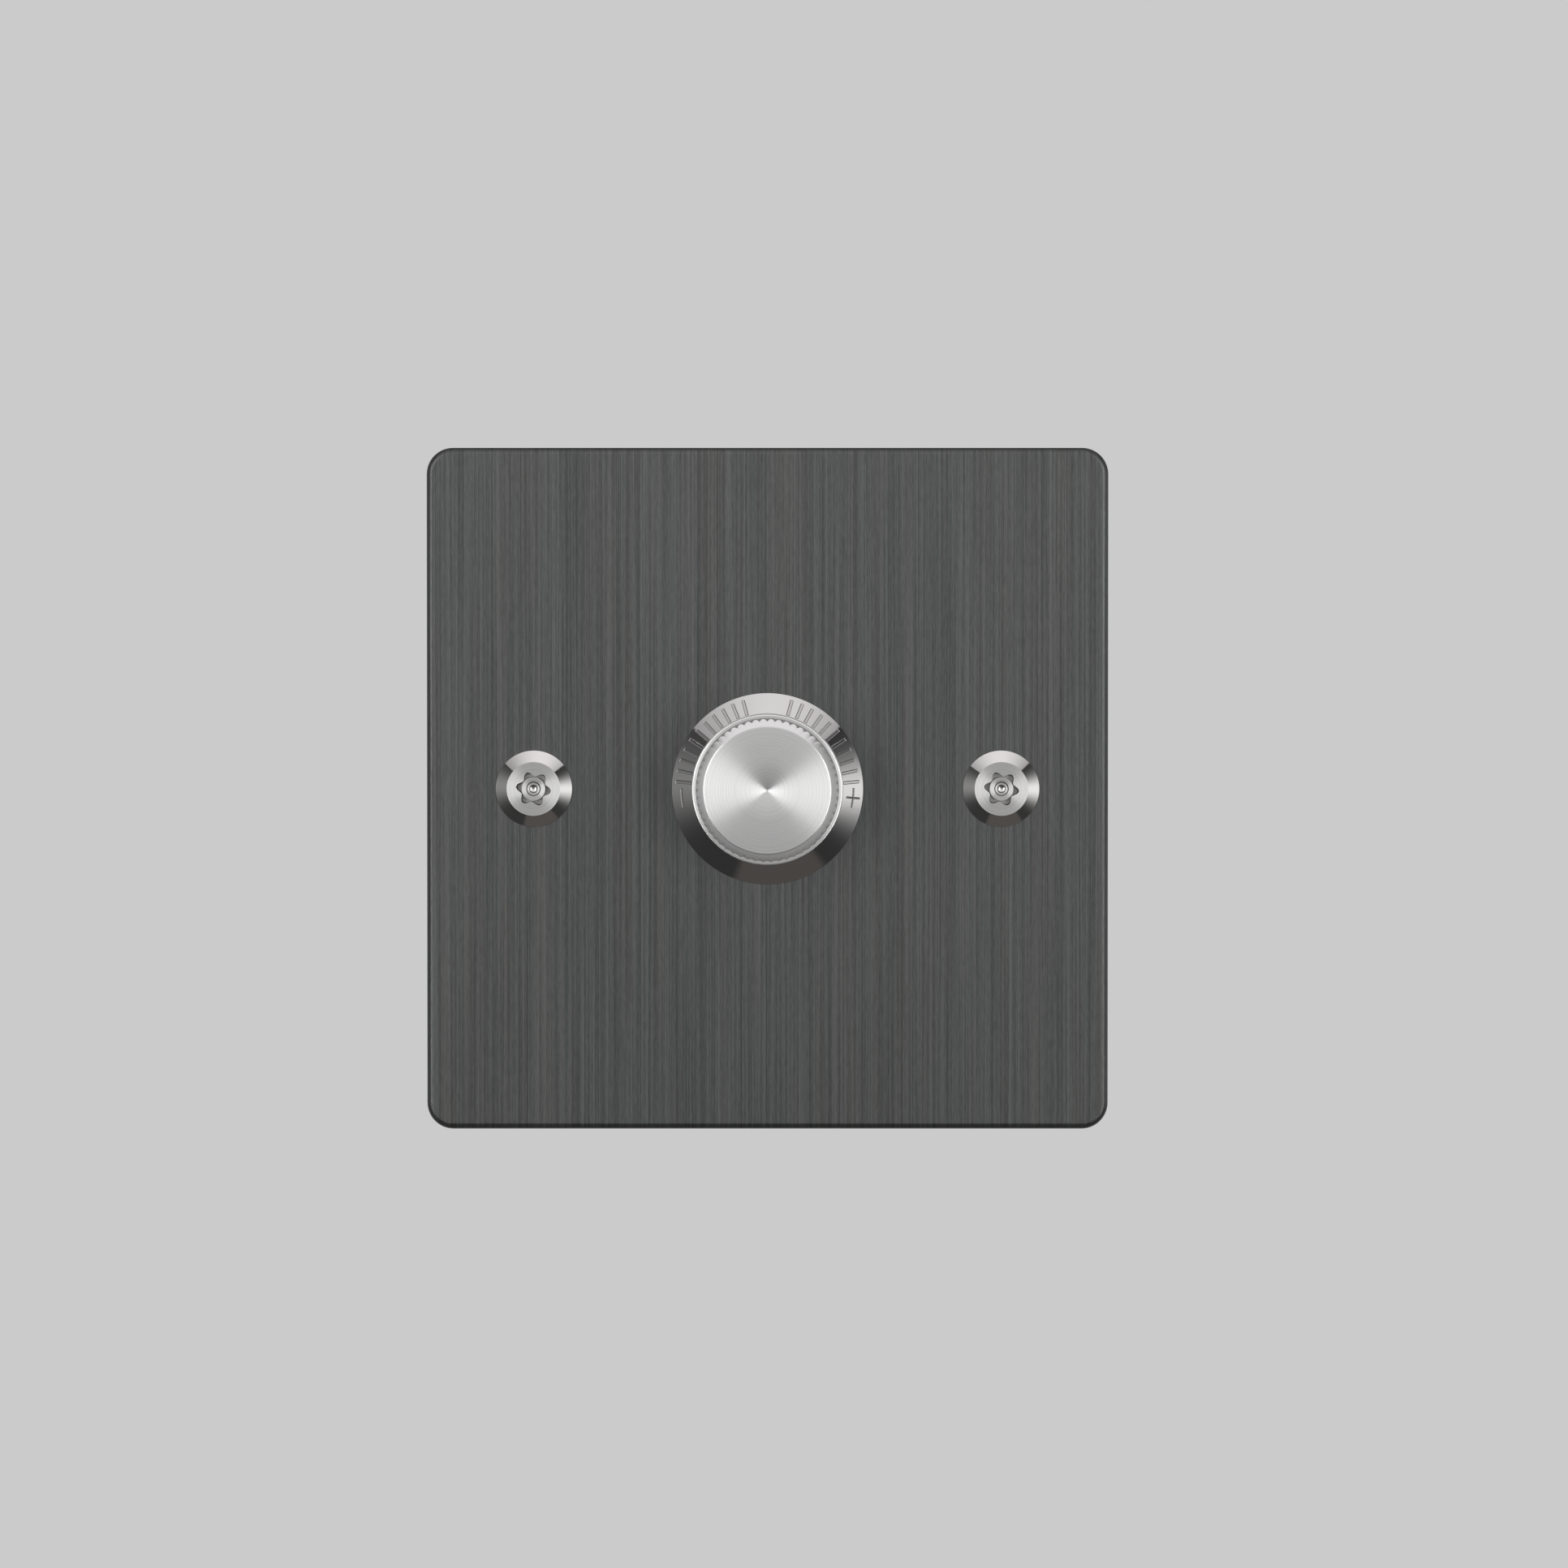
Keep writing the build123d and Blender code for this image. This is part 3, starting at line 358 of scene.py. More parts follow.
class Tree:
    """Writes the nodes of one material or world."""

    def __init__(self, owner):
        owner.use_nodes = True
        self.nodes = owner.node_tree.nodes
        self.links = owner.node_tree.links
        self.nodes.clear()

    def node(self, kind, settings=None, inputs=None, output=0):
        """Adds a node: first its settings, then the values or links of its sockets. Gives one output."""
        made = self.nodes.new(kind)
        for name, value in (settings or {}).items():
            setattr(made, name, value)
        for name, value in (inputs or {}).items():
            if isinstance(value, Wire):
                self.links.new(value.socket, made.inputs[name])
            else:
                made.inputs[name].default_value = value
        if made.outputs:
            return Wire(self, made.outputs[output])

    def metres(self):
        """The point on the piece, in metres of its own axes."""
        return self.node("ShaderNodeTexCoord", output="Object")

    def place(self):
        """The point on the piece, in millimetres of its own axes."""
        return self.scaled(self.metres(), (1 / MILLIMETRE,) * 3)

    def scaled(self, vector, factors):
        return self.node("ShaderNodeVectorMath", {"operation": "MULTIPLY"}, {0: vector, 1: factors})

    def parts(self, vector):
        """The x, y and z of a vector."""
        split = self.node("ShaderNodeSeparateXYZ", None, {"Vector": vector})
        return [Wire(self, socket) for socket in split.socket.node.outputs]

    def noise(self, vector, scale=1.0, detail=2.0):
        """Cloudy pattern, from 0 to 1."""
        return self.node("ShaderNodeTexNoise", None, {"Vector": vector, "Scale": scale, "Detail": detail})

    def lines(self, along, detail=2.0):
        """Pattern that changes along one number only."""
        inputs = {"W": along, "Scale": 1.0, "Detail": detail}
        return self.node("ShaderNodeTexNoise", {"noise_dimensions": "1D"}, inputs)

    def ease(self, value, low, high):
        """From 0 at low to 1 at high, smoothly."""
        settings = {"interpolation_type": "SMOOTHSTEP"}
        return self.node("ShaderNodeMapRange", settings, {"Value": value, "From Min": low, "From Max": high})

    def mix(self, factor, first, second, blend="MIX"):
        settings = {"data_type": "RGBA", "blend_type": blend}
        return self.node("ShaderNodeMix", settings, {0: factor, 6: opaque(first), 7: opaque(second)}, 2)

    def shaded(self, base, pattern, dark=1.0, light=1.0, low=0.3, high=0.7):
        """A colour that goes from dark to light times its base as a pattern goes from low to high."""
        return self.mix(self.ease(pattern, low, high), toned(base, dark), toned(base, light))

    def bump(self, height, distance, strength):
        inputs = {"Height": height, "Distance": distance, "Strength": strength}
        return self.node("ShaderNodeBump", None, inputs)

    def surface(self, **inputs):
        """Joins a Principled shader to the output. Socket names have _ for a space."""
        named = {name.replace("_", " "): opaque(value) for name, value in inputs.items()}
        self.end(self.node("ShaderNodeBsdfPrincipled", None, named))

    def glow(self, tone):
        """Joins a plain light of this colour to the output."""
        self.end(self.node("ShaderNodeEmission", None, {"Color": tone, "Strength": 1.0}))

    def end(self, shader, kind="ShaderNodeOutputMaterial"):
        self.node(kind, None, {"Surface": shader})


def opaque(value):
    """A colour of three numbers with full alpha. Anything else stays as it is."""
    if isinstance(value, Wire) or not hasattr(value, "__len__") or len(value) != 3:
        return value
    return (*value, 1.0)


def toned(base, factor):
    """A colour made darker or lighter."""
    return [factor * part for part in base]


def finish(name, write, *values):
    """The material of this name, written once from its colours and other values."""
    made = bpy.data.materials.get(name)
    if made is None:
        made = bpy.data.materials.new(name)
        write(Tree(made), *values)
    return made


# Finishes, with patterns scaled to millimetres and bumps in metres


def brushed_plate(tree, dark, light, cool, warm):
    """Dark metal brushed up and down, with faint green and brown streaks."""
    point = tree.place()
    fine = tree.noise(tree.scaled(point, (7.5, 1.5, 0.022)), detail=3.0)
    short = tree.noise(tree.scaled(point, (7.0, 1.5, 0.85)), detail=2.0)
    middle = tree.noise(tree.scaled(point, (2.6, 0.8, 0.012)), detail=3.0)
    broad = tree.noise(tree.scaled(point, (0.6, 0.3, 0.012)), detail=2.0)
    height = fine * 0.47 + short * 0.25 + middle * 0.28
    grain = tree.ease(height, 0.3, 0.7)
    metal = tree.mix(grain, dark, light)
    cast = tree.mix(tree.ease(broad, 0.42, 0.72), cool, warm)
    tree.surface(
        Base_Color=tree.mix(1.0, metal, cast, "MULTIPLY"),
        Metallic=1.0,
        Roughness=0.34 + 0.12 * middle,
        Anisotropic=0.35,
        Normal=tree.bump(height, 4e-6, 0.6),
    )


def polished_metal(tree, metal):
    """Bright plated metal with the last faint traces of turning."""
    point = tree.place()
    x, y, z = tree.parts(point)
    radius = x.hypot(y)
    rings = tree.lines(radius * 110.0 + z * 45.0)
    haze = tree.noise(point, 0.9, 3.0)
    tree.surface(
        Base_Color=metal,
        Metallic=1.0,
        Roughness=0.045 + 0.05 * haze,
        Normal=tree.bump(rings, 2e-7, 0.5),
    )


def cut_metal(tree, metal, gloss, spread, grain_depth):
    """Metal as the tool left it, with a fine grain in its sheen and its surface."""
    grain = tree.noise(tree.place(), 14.0, 3.0)
    tree.surface(
        Base_Color=metal,
        Metallic=1.0,
        Roughness=gloss + spread * grain,
        Normal=tree.bump(grain, grain_depth, 0.5),
    )


def engraved_line(tree, metal):
    """Bright cut of the engraving tool."""
    cut_metal(tree, metal, 0.12, 0.12, 1e-6)


def matt_metal(tree, metal):
    """Matt metal at the foot of a cut. Its dark colours at the foot of the knob's ridges and on the walls
    and rings of the screws' recess are painted shade.
    """
    cut_metal(tree, metal, 0.42, 0.2, 6e-6)


def spun_metal(tree, metal):
    """Metal spun with an abrasive: fine rings about the axis, which draw light out from the centre."""
    x, y, z = tree.parts(tree.place())
    radius = x.hypot(y)
    fine = tree.lines(radius * 50.0 + z * 50.0, 3.0)
    coarse = tree.lines(radius * 8.0 + z * 8.0, 3.0)
    rings = fine * 0.4 + coarse * 0.6
    tree.surface(
        Base_Color=tree.shaded(metal, rings, 0.86, 1.07),
        Metallic=1.0,
        Roughness=0.26 + 0.10 * rings,
        Anisotropic=0.85,
        Anisotropic_Rotation=0.25,
        Normal=tree.bump(rings, 1.5e-6, 0.6),
    )


def satin_metal(tree, metal):
    """Cut metal with a soft, even sheen."""
    x, y, z = tree.parts(tree.place())
    rings = tree.lines(x.hypot(y) * 90.0 + z * 90.0)
    tree.surface(
        Base_Color=tree.shaded(metal, rings, 0.94),
        Metallic=1.0,
        Roughness=0.27 + 0.08 * rings,
        Normal=tree.bump(rings, 2e-6, 0.5),
    )


def drawn_brass(tree, metal):
    """Brass cut from bar, a little dulled in patches."""
    point = tree.place()
    marks = tree.noise(tree.scaled(point, (9.0, 0.7, 9.0)), detail=2.0)
    dull_and_shade = tree.ease(tree.noise(point, 0.35, 4.0), 0.42, 0.68)
    tree.surface(
        Base_Color=tree.mix(dull_and_shade * 0.45, metal, toned(metal, 0.55)),
        Metallic=1.0,
        Roughness=0.22 + 0.12 * marks + 0.10 * dull_and_shade,
        Normal=tree.bump(marks, 3e-6, 0.5),
    )


def zinc_plate(tree, metal):
    """Steel under bright zinc, clouded a little."""
    point = tree.place()
    cloud = tree.noise(point, 1.1, 4.0)
    fine = tree.noise(point, 16.0, 2.0)
    tree.surface(
        Base_Color=tree.shaded(metal, cloud, 0.82),
        Metallic=1.0,
        Roughness=0.24 + 0.16 * cloud,
        Normal=tree.bump(fine, 2e-6, 0.4),
    )


def spring_wire(tree, metal):
    """Drawn spring steel."""
    grain = tree.noise(tree.place(), 9.0, 2.0)
    tree.surface(
        Base_Color=metal,
        Metallic=1.0,
        Roughness=0.22 + 0.14 * grain,
        Normal=tree.bump(grain, 1e-6, 0.4),
    )


def rolled_aluminium(tree, metal):
    """Sheet as it left the rolls, with fine lines across it."""
    rolling = tree.noise(tree.scaled(tree.place(), (0.03, 5.0, 5.0)), detail=3.0)
    tree.surface(
        Base_Color=tree.shaded(metal, rolling, 0.85),
        Metallic=1.0,
        Roughness=0.32 + 0.16 * rolling,
        Normal=tree.bump(rolling, 4e-6, 0.5),
    )


def moulding(tree, plastic, gloss, grain_size, grain_depth):
    """Moulded plastic with an eroded grain and faint flow marks."""
    point = tree.place()
    grain = tree.noise(point, 1.0 / grain_size, 3.0)
    flow = tree.noise(tree.scaled(point, (0.05, 0.05, 0.16)), detail=3.0)
    tree.surface(
        Base_Color=tree.shaded(plastic, flow, 0.86),
        Roughness=gloss + 0.14 * grain,
        Normal=tree.bump(grain, grain_depth, 0.55),
    )


def black_moulding(tree, plastic):
    """Spark-grained case."""
    moulding(tree, plastic, 0.40, 0.28, 5e-5)


def white_moulding(tree, plastic):
    """Smooth pale moulding."""
    moulding(tree, plastic, 0.30, 0.9, 1.2e-5)


def pressed_laminate(tree, resin):
    """Paper laminate: pressed layers seen at its edge and mottle on its face."""
    point = tree.place()
    layers = tree.noise(tree.scaled(point, (0.4, 9.0, 0.4)), detail=2.0)
    mottle = tree.noise(point, 1.6, 4.0)
    tone = tree.shaded(resin, layers * 0.5 + mottle * 0.5, 0.6, low=0.35, high=0.65)
    tree.surface(Base_Color=tone, Roughness=0.38 + 0.2 * mottle, Normal=tree.bump(layers, 5e-6, 0.4))


def board_lacquer(tree, lacquer):
    """Lacquer over the board's glass weave and copper."""
    point = tree.place()
    x, _, z = tree.parts(point)
    weave = (x * 9.0).wave() * (z * 9.0).wave()
    copper = tree.ease(tree.noise(tree.scaled(point, (0.22, 0.22, 0.22)), detail=0.0), 0.48, 0.52)
    tree.surface(
        Base_Color=tree.mix(copper * 0.7, lacquer, toned(lacquer, 1.9)),
        Roughness=0.28 + 0.05 * weave,
        Coat_Weight=0.3,
        Normal=tree.bump(weave * 0.3 + copper, 8e-6, 0.4),
    )


def wound_copper(tree, copper):
    """Enamelled wire: turns laid side by side round the choke's ring."""
    x, _, z = tree.parts(tree.place())
    middle = (CHOKE.bottom + CHOKE.top) / 2 / MILLIMETRE
    turns = ((z - middle).angle_to(x) * CHOKE_TURNS).wave()
    tree.surface(
        Base_Color=tree.shaded(copper, turns, 0.3, low=-1.0, high=0.3),
        Metallic=0.85,
        Roughness=0.3,
        Coat_Weight=0.5,
        Normal=tree.bump(turns, 8e-5, 0.8),
    )


def sintered_ferrite(tree, grey):
    """Dark sintered grains."""
    grain = tree.noise(tree.place(), 7.0, 4.0)
    tone = tree.shaded(grey, grain, light=1.8, low=0.4, high=0.65)
    tree.surface(Base_Color=tone, Roughness=0.5 + 0.2 * grain, Normal=tree.bump(grain, 1e-5, 0.5))


def leaded_part(tree, body, tin, gloss):
    """A part on the board: its coloured body behind the board and its tinned leads in front of it."""
    point = tree.place()
    depth = tree.parts(point)[1]
    lead = depth < BOARD_BACK / MILLIMETRE
    cloud = tree.noise(point, 0.8, 3.0)
    tree.surface(
        Base_Color=tree.mix(lead, tree.shaded(body, cloud, 0.84), tin),
        Metallic=lead,
        Roughness=gloss + 0.12 * cloud,
        Normal=tree.bump(cloud, 2e-5, 0.3),
    )


def capacitor_box(tree, body, tin):
    """Film capacitor's glossy box."""
    leaded_part(tree, body, tin, 0.22)


def shrunk_sleeve(tree, body, tin):
    """Smoothing capacitor's sleeve."""
    leaded_part(tree, body, tin, 0.26)


def fired_ceramic(tree, body, tin):
    """Fuse's ceramic tube."""
    leaded_part(tree, body, tin, 0.45)


def silicone_pad(tree, grey):
    """Soft sheet with a faint weave."""
    x, _, z = tree.parts(tree.place())
    weave = (x * 12.0).wave() * (z * 12.0).wave()
    tone = tree.shaded(grey, weave, 0.85, low=-1.0, high=1.0)
    tree.surface(Base_Color=tone, Roughness=0.62 + 0.08 * weave, Normal=tree.bump(weave, 1e-5, 0.4))


# Mesh helpers


def all_round(number):
    """Angles spread evenly over a full turn."""
    return [tau * n / number for n in range(number)]


def ring(bm, angles, radius, height):
    """A row of points round the z axis. The radius and height are numbers or follow the angle."""
    row = []
    for angle in angles:
        out = radius(angle) if callable(radius) else radius
        up = height(angle) if callable(height) else height
        row.append(bm.verts.new((out * cos(angle), out * sin(angle), up)))
    return row


def tip(bm, height):
    """A row of one point, on the z axis."""
    return [bm.verts.new((0, 0, height))]


def level_row(bm, outline, height):
    """A row of points at one height."""
    return [bm.verts.new((x, y, height)) for x, y in outline]


def skin(bm, rows, material=0):
    """Faces between neighbouring rows. A row of one point closes the skin."""
    for near, far in zip(rows, rows[1:]):
        number = max(len(near), len(far))
        for n in range(number):
            m = (n + 1) % number
            corners = [near[n % len(near)], near[m % len(near)], far[m % len(far)], far[n % len(far)]]
            bm.faces.new(list(dict.fromkeys(corners))).material_index = material


def flat_face(bm, *loops):
    """Fills a flat outline, the first loop, round the holes that follow it."""
    points = [point for loop in loops for point in loop]
    for corners in tessellate_polygon([[point.co for point in loop] for loop in loops]):
        bm.faces.new([points[n] for n in corners])


def eased(corners, steps=3):
    """Half section of a turned piece. A corner, (radius, height, ease), is rounded off by its ease."""
    points = []
    for n, (radius, height, ease) in enumerate(corners):
        here = Vector((radius, height))
        if not ease:
            points.append(here)
            continue
        start = here + (Vector(corners[n - 1][:2]) - here).normalized() * ease
        end = here + (Vector(corners[n + 1][:2]) - here).normalized() * ease
        points += [bent(start, here, end, k / steps) for k in range(steps + 1)]
    return points


def bent(start, corner, end, along):
    """Point on the curve that rounds off a corner."""
    return start * (1 - along) ** 2 + corner * (2 * along * (1 - along)) + end * along**2


def rounded_square(half, radius, steps=14):
    """Outline of a square with round corners."""
    points = []
    for quarter in range(4):
        across = 1 if quarter in (0, 3) else -1
        up = 1 if quarter in (0, 1) else -1
        for k in range(steps + 1):
            angle = (quarter + k / steps) * pi / 2
            x = across * (half - radius) + radius * cos(angle)
            points.append((x, up * (half - radius) + radius * sin(angle)))
    return points


def circle(radius, x=0.0, y=0.0, steps=72):
    return [(x + radius * cos(a), y + radius * sin(a)) for a in all_round(steps)]


def add_object(name, data):
    made = bpy.data.objects.new(name, data)
    bpy.context.scene.collection.objects.link(made)
    return made


def add_mesh(bm, name, *materials):
    """Turns the mesh in work into an object of these materials."""
    mesh = bpy.data.meshes.new(name)
    bm.to_mesh(mesh)
    bm.free()
    for material in materials:
        mesh.materials.append(material)
    return add_object(name, mesh)


def make_piece(bm, name, slot, body, *materials, placed=UPRIGHT, sharp=SHARP_ANGLE):
    """Turns a closed mesh into a piece that rides on a body."""
    bmesh.ops.remove_doubles(bm, verts=bm.verts, dist=WELD)
    bmesh.ops.recalc_face_normals(bm, faces=bm.faces)
    gaps = [edge for edge in bm.edges if not edge.is_manifold]
    if gaps:
        raise RuntimeError(f"{name} isn't closed: {len(gaps)} edges, the first at {gaps[0].verts[0].co[:]}")
    piece = add_mesh(bm, name, *materials)
    piece.data.shade_smooth()
    piece.data.set_sharp_from_angle(angle=sharp)
    piece.matrix_world = placed
    piece.modifiers.new("Even shading", "WEIGHTED_NORMAL").keep_sharp = True
    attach(piece, body)
    return piece


# Pieces


def plate_mesh(sizes):
    """Rounded square plate: hollow back, keyed centre hole, two screw holes and a blind earth hole."""
    bm = bmesh.new()
    half = PLATE.right
    floor = PLATE.back + sizes.relief_depth
    edge, corner = sizes.edge_radius, sizes.corner_radius
    hollow = rounded_square(half - sizes.relief_rim, sizes.relief_corner)
    rows = [level_row(bm, hollow, height) for height in (floor, PLATE.back)]
    rows.append(level_row(bm, rounded_square(half, corner), PLATE.back))
    steps = 10
    for k in range(steps + 1):
        angle = pi / 2 * k / steps
        inset = edge * (1 - cos(angle))
        outline = rounded_square(half - inset, corner - inset)
        rows.append(level_row(bm, outline, PLATE.front - edge * (1 - sin(angle))))
    skin(bm, rows)
    holes = [keyed_hole(sizes), *[circle(sizes.screw_hole, x) for x in (-SCREW_X, SCREW_X)]]
    walls = [[level_row(bm, hole, height) for height in (floor, PLATE.front)] for hole in holes]
    for wall in walls:
        skin(bm, wall)
    earth = circle(sizes.earth_hole, 0.0, (EARTH.bottom + EARTH.top) / 2)
    blind = [level_row(bm, earth, floor), level_row(bm, earth, floor + sizes.earth_hole_depth)]
    skin(bm, blind)
    flat_face(bm, blind[1])
    flat_face(bm, rows[-1], *[wall[1] for wall in walls])
    flat_face(bm, rows[0], *[wall[0] for wall in walls], blind[0])
    bm.transform(UPRIGHT)  # the brushed finish runs along the upright plate's own z axis
    return bm


def keyed_hole(sizes):
    """Round outline with a square notch below."""
    half = sizes.key_width / 2
    start = asin(half / sizes.centre_hole)
    steps = 120
    turns = [start + (tau - 2 * start) * k / steps - pi / 2 for k in range(steps + 1)]
    points = [(sizes.centre_hole * cos(a), sizes.centre_hole * sin(a)) for a in turns]
    return points + [(-half, -sizes.key_reach), (half, -sizes.key_reach)]


SKIRT, FACING, FLOOR, EDGE_SHADE, POINT = range(5)  # materials of a screw, in order
# the dark rings in the pin's hollow are painted shade
# The turned hollow in the pin, from its middle out: (share of its radius, share of its depth, material)
HOLLOW_STEPS = (
    (0.36, 0.34, POINT),
    (0.52, 0.62, EDGE_SHADE),
    (0.76, 0.64, FACING),
    (0.9, 0.96, EDGE_SHADE),
    (1.0, 1.0, FACING),
)
LOBES = 6
STEPS_PER_LOBE = 30


def screw_mesh(sizes):
    """Screw about the z axis: pinned six-lobe recess, coned head, plain neck and thread."""
    bm = bmesh.new()
    angles = all_round(LOBES * STEPS_PER_LOBE)
    top, seat, head = SCREWS.front, PLATE.front, SCREWS.top
    pin_top = top - sizes.pin_drop
    hollow = pin_top - sizes.dimple_depth
    inner = tip(bm, hollow)
    for out, up, material in HOLLOW_STEPS:
        outer = ring(bm, angles, out * sizes.dimple_radius, hollow + up * sizes.dimple_depth)
        skin(bm, [inner, outer], material)
        inner = outer

    def recess(share):
        """Outline between the pin, at 0, and the six lobes, at 1."""
        def outline(angle):
            wave = (1 + cos(LOBES * (angle - sizes.lobe_turn))) / 2
            lobe = sizes.lobe_root + (sizes.lobe_tip - sizes.lobe_root) * wave
            return sizes.pin_radius + share * (lobe - sizes.pin_radius)

        return outline

    low = top - sizes.recess_depth
    # the recess's sloping walls take the dark material: painted shade
    steps = ((0.0, pin_top, FACING), (0.1, low, EDGE_SHADE), (0.8, low, FLOOR), (1.0, top, EDGE_SHADE))
    for share, height, material in steps:
        outer = ring(bm, angles, recess(share), height)
        skin(bm, [inner, outer], material)
        inner = outer
    skin(bm, [inner, ring(bm, angles, sizes.top_radius, top)], FACING)
    side = [
        (sizes.top_radius, top),
        (head, seat + sizes.rim_height),
        (head, seat),
        (sizes.neck_radius, seat),
        (sizes.neck_radius, sizes.neck_end),
    ]
    rows = [ring(bm, angles, radius, height) for radius, height in side]
    rows += thread_rows(bm, angles, sizes)
    rows.append(tip(bm, SCREWS.back))
    skin(bm, rows, SKIRT)
    return bm


def thread_rows(bm, angles, sizes):
    """Rows that follow the thread's helix from the neck to the point. Both ends run out flat."""
    high, low = sizes.neck_end, SCREWS.back
    root = sizes.thread_radius - sizes.thread_depth
    profile = [(0.0, 1.0), (0.14, 1.0), (0.5, 0.0), (0.64, 0.0)]  # shares of the pitch and of the depth
    turns = int((high - low) / sizes.thread_pitch) + 2
    rows = []
    for n in range(turns):
        for along, height in profile:
            row = []
            for angle in angles:
                z = high + sizes.thread_pitch * (angle / tau - n - along)
                radius = root + sizes.thread_depth * height
                if not low < z < high:
                    z, radius = min(max(z, low), high), root
                radius = min(radius, sizes.thread_radius - sizes.point_bevel + z - low)
                row.append(bm.verts.new((radius * cos(angle), radius * sin(angle), z)))
            rows.append(row)
    return rows


POLISH, TICK, SIGN = range(3)  # materials of the dial, in order
DIAL_STEPS = 240
DIAL_STEP_ROOM = radians(1.6)  # an even step nearer than this to a mark's edge is left out


class Mark:
    """Engraved mark on the dial: bars of (half width, inner radius, outer radius) about one angle."""

    def __init__(self, angle, *bars):
        self.angle = angle
        self.bars = bars

    def holds(self, aside, radius):
        return any(abs(aside) < half and inner < radius < outer for half, inner, outer in self.bars)


def dial_marks(sizes):
    """Ticks down both sides, a minus sign at the left and a plus sign at the right."""
    marks = []
    line = sizes.line_width / 2
    for n in range(sizes.tick_count):
        off = sizes.tick_first + n * sizes.tick_pitch
        for angle in (pi / 2 - off, pi / 2 + off):
            marks.append(Mark(angle, (sizes.tick_width / 2, sizes.tick_inner, sizes.tick_outer)))
    middle, along = sizes.sign_radius, sizes.sign_along
    across = (sizes.sign_across, middle - line, middle + line)
    marks.append(Mark(pi / 2 + sizes.sign_turn, across))
    marks.append(Mark(pi / 2 - sizes.sign_turn, across, (line, middle - along, middle + along)))
    return marks


def dial_columns(sizes, marks, wall):
    """Where the dial's grid has lines: (angle, distance to the side, mark), in order round the ring."""
    columns = []
    for mark in marks:
        asides = {half + side for half, _, _ in mark.bars for side in (-wall, wall)}
        # a long bar gets lines between, so that its floor follows the ring
        widest = max(half for half, _, _ in mark.bars)
        asides |= {widest * k / 4 for k in range(1, 4) if widest > sizes.tick_width}
        columns += [(mark.angle % tau, side * aside, mark) for aside in asides for side in (-1, 1)]
    key = sizes.key_width / 2
    columns += [(3 * pi / 2, side * (key + gap), None) for side in (-1, 1) for gap in (-wall, wall)]
    places = [(angle + aside / sizes.sign_radius) % tau for angle, aside, _ in columns]
    for angle in all_round(DIAL_STEPS):
        if all(abs((angle - place + pi) % tau - pi) > DIAL_STEP_ROOM for place in places):
            columns.append((angle, 0.0, None))
    return sorted(columns, key=lambda column: (column[0] + column[1] / sizes.sign_radius) % tau)


def dial_mesh(sizes):
    """Keyed ring with a cone in front, engraved on a grid that follows the marks' edges."""
    bm = bmesh.new()
    wall = sizes.line_wall / 2
    marks = dial_marks(sizes)
    columns = dial_columns(sizes, marks, wall)
    outer, seat, top = DIAL.right, PLATE.front, DIAL.front
    rim = seat + sizes.rim_height
    slope = Vector((top - rim, outer - sizes.top_radius)).normalized()
    ends = {end + side for mark in marks for bar in mark.bars for end in bar[1:] for side in (-wall, wall)}
    ease = 0.03 * MILLIMETRE
    profile = [
        (sizes.web_bore, DIAL.back, 0),
        (sizes.spigot_radius, DIAL.back, 0),
        (sizes.spigot_radius, seat, 0),
        (outer, seat, 0),
        (outer, rim, 0),
        (sizes.top_radius, top, 0),
        (sizes.bore_radius, top, ease),
        (sizes.bore_radius, sizes.web_top, 0),
        (sizes.web_bore, sizes.web_top, 0),
    ]
    section = [tuple(point) for point in eased(profile)]
    on_cone = [(radius, rim + (outer - radius) * slope.x / slope.y) for radius in sorted(ends, reverse=True)]
    cone_start = max(n for n, (radius, _) in enumerate(section) if radius > max(ends))
    section[cone_start + 1 : cone_start + 1] = on_cone
    rows = []
    for radius, height in section:
        row = []
        for angle, aside, mark in columns:
            out, up = radius, height
            if mark and height > rim and mark.holds(aside, radius):
                out -= slope.x * sizes.line_depth
                up -= slope.y * sizes.line_depth
            in_key = mark is None and aside and abs(aside) < sizes.key_width / 2
            if in_key and radius == sizes.spigot_radius:
                out += sizes.key_reach
            place = angle + asin(aside / out)
            row.append(bm.verts.new((out * cos(place), out * sin(place), up)))
        rows.append(row)
    skin(bm, rows + rows[:1], POLISH)
    # engraved faces below the middle between the last tick and the signs are the signs'
    last_tick = sizes.tick_first + (sizes.tick_count - 1) * sizes.tick_pitch
    first_sign = sizes.sign_turn - sizes.sign_across / sizes.sign_radius
    signs_below = sizes.sign_radius * cos((last_tick + first_sign) / 2)
    for face in bm.faces:
        if engraved(face, slope, outer, rim, sizes.line_depth):
            face.material_index = SIGN if face.calc_center_median().y < signs_below else TICK
    return bm


def engraved(face, slope, outer, rim, depth):
    """Whether a face of the dial reaches the floor of an engraved line."""
    for point in face.verts:
        from_rim = Vector((outer - point.co.xy.length, rim - point.co.z))
        if 0.9 * depth < slope.dot(from_rim) < 1.1 * depth:
            return True
    return False


SPUN, SATIN, RIDGE_SHADE = range(3)  # materials of the knob, in order
STEPS_PER_FLUTE = 12
EDGE_STEPS = 4  # steps round a small edge of the knob


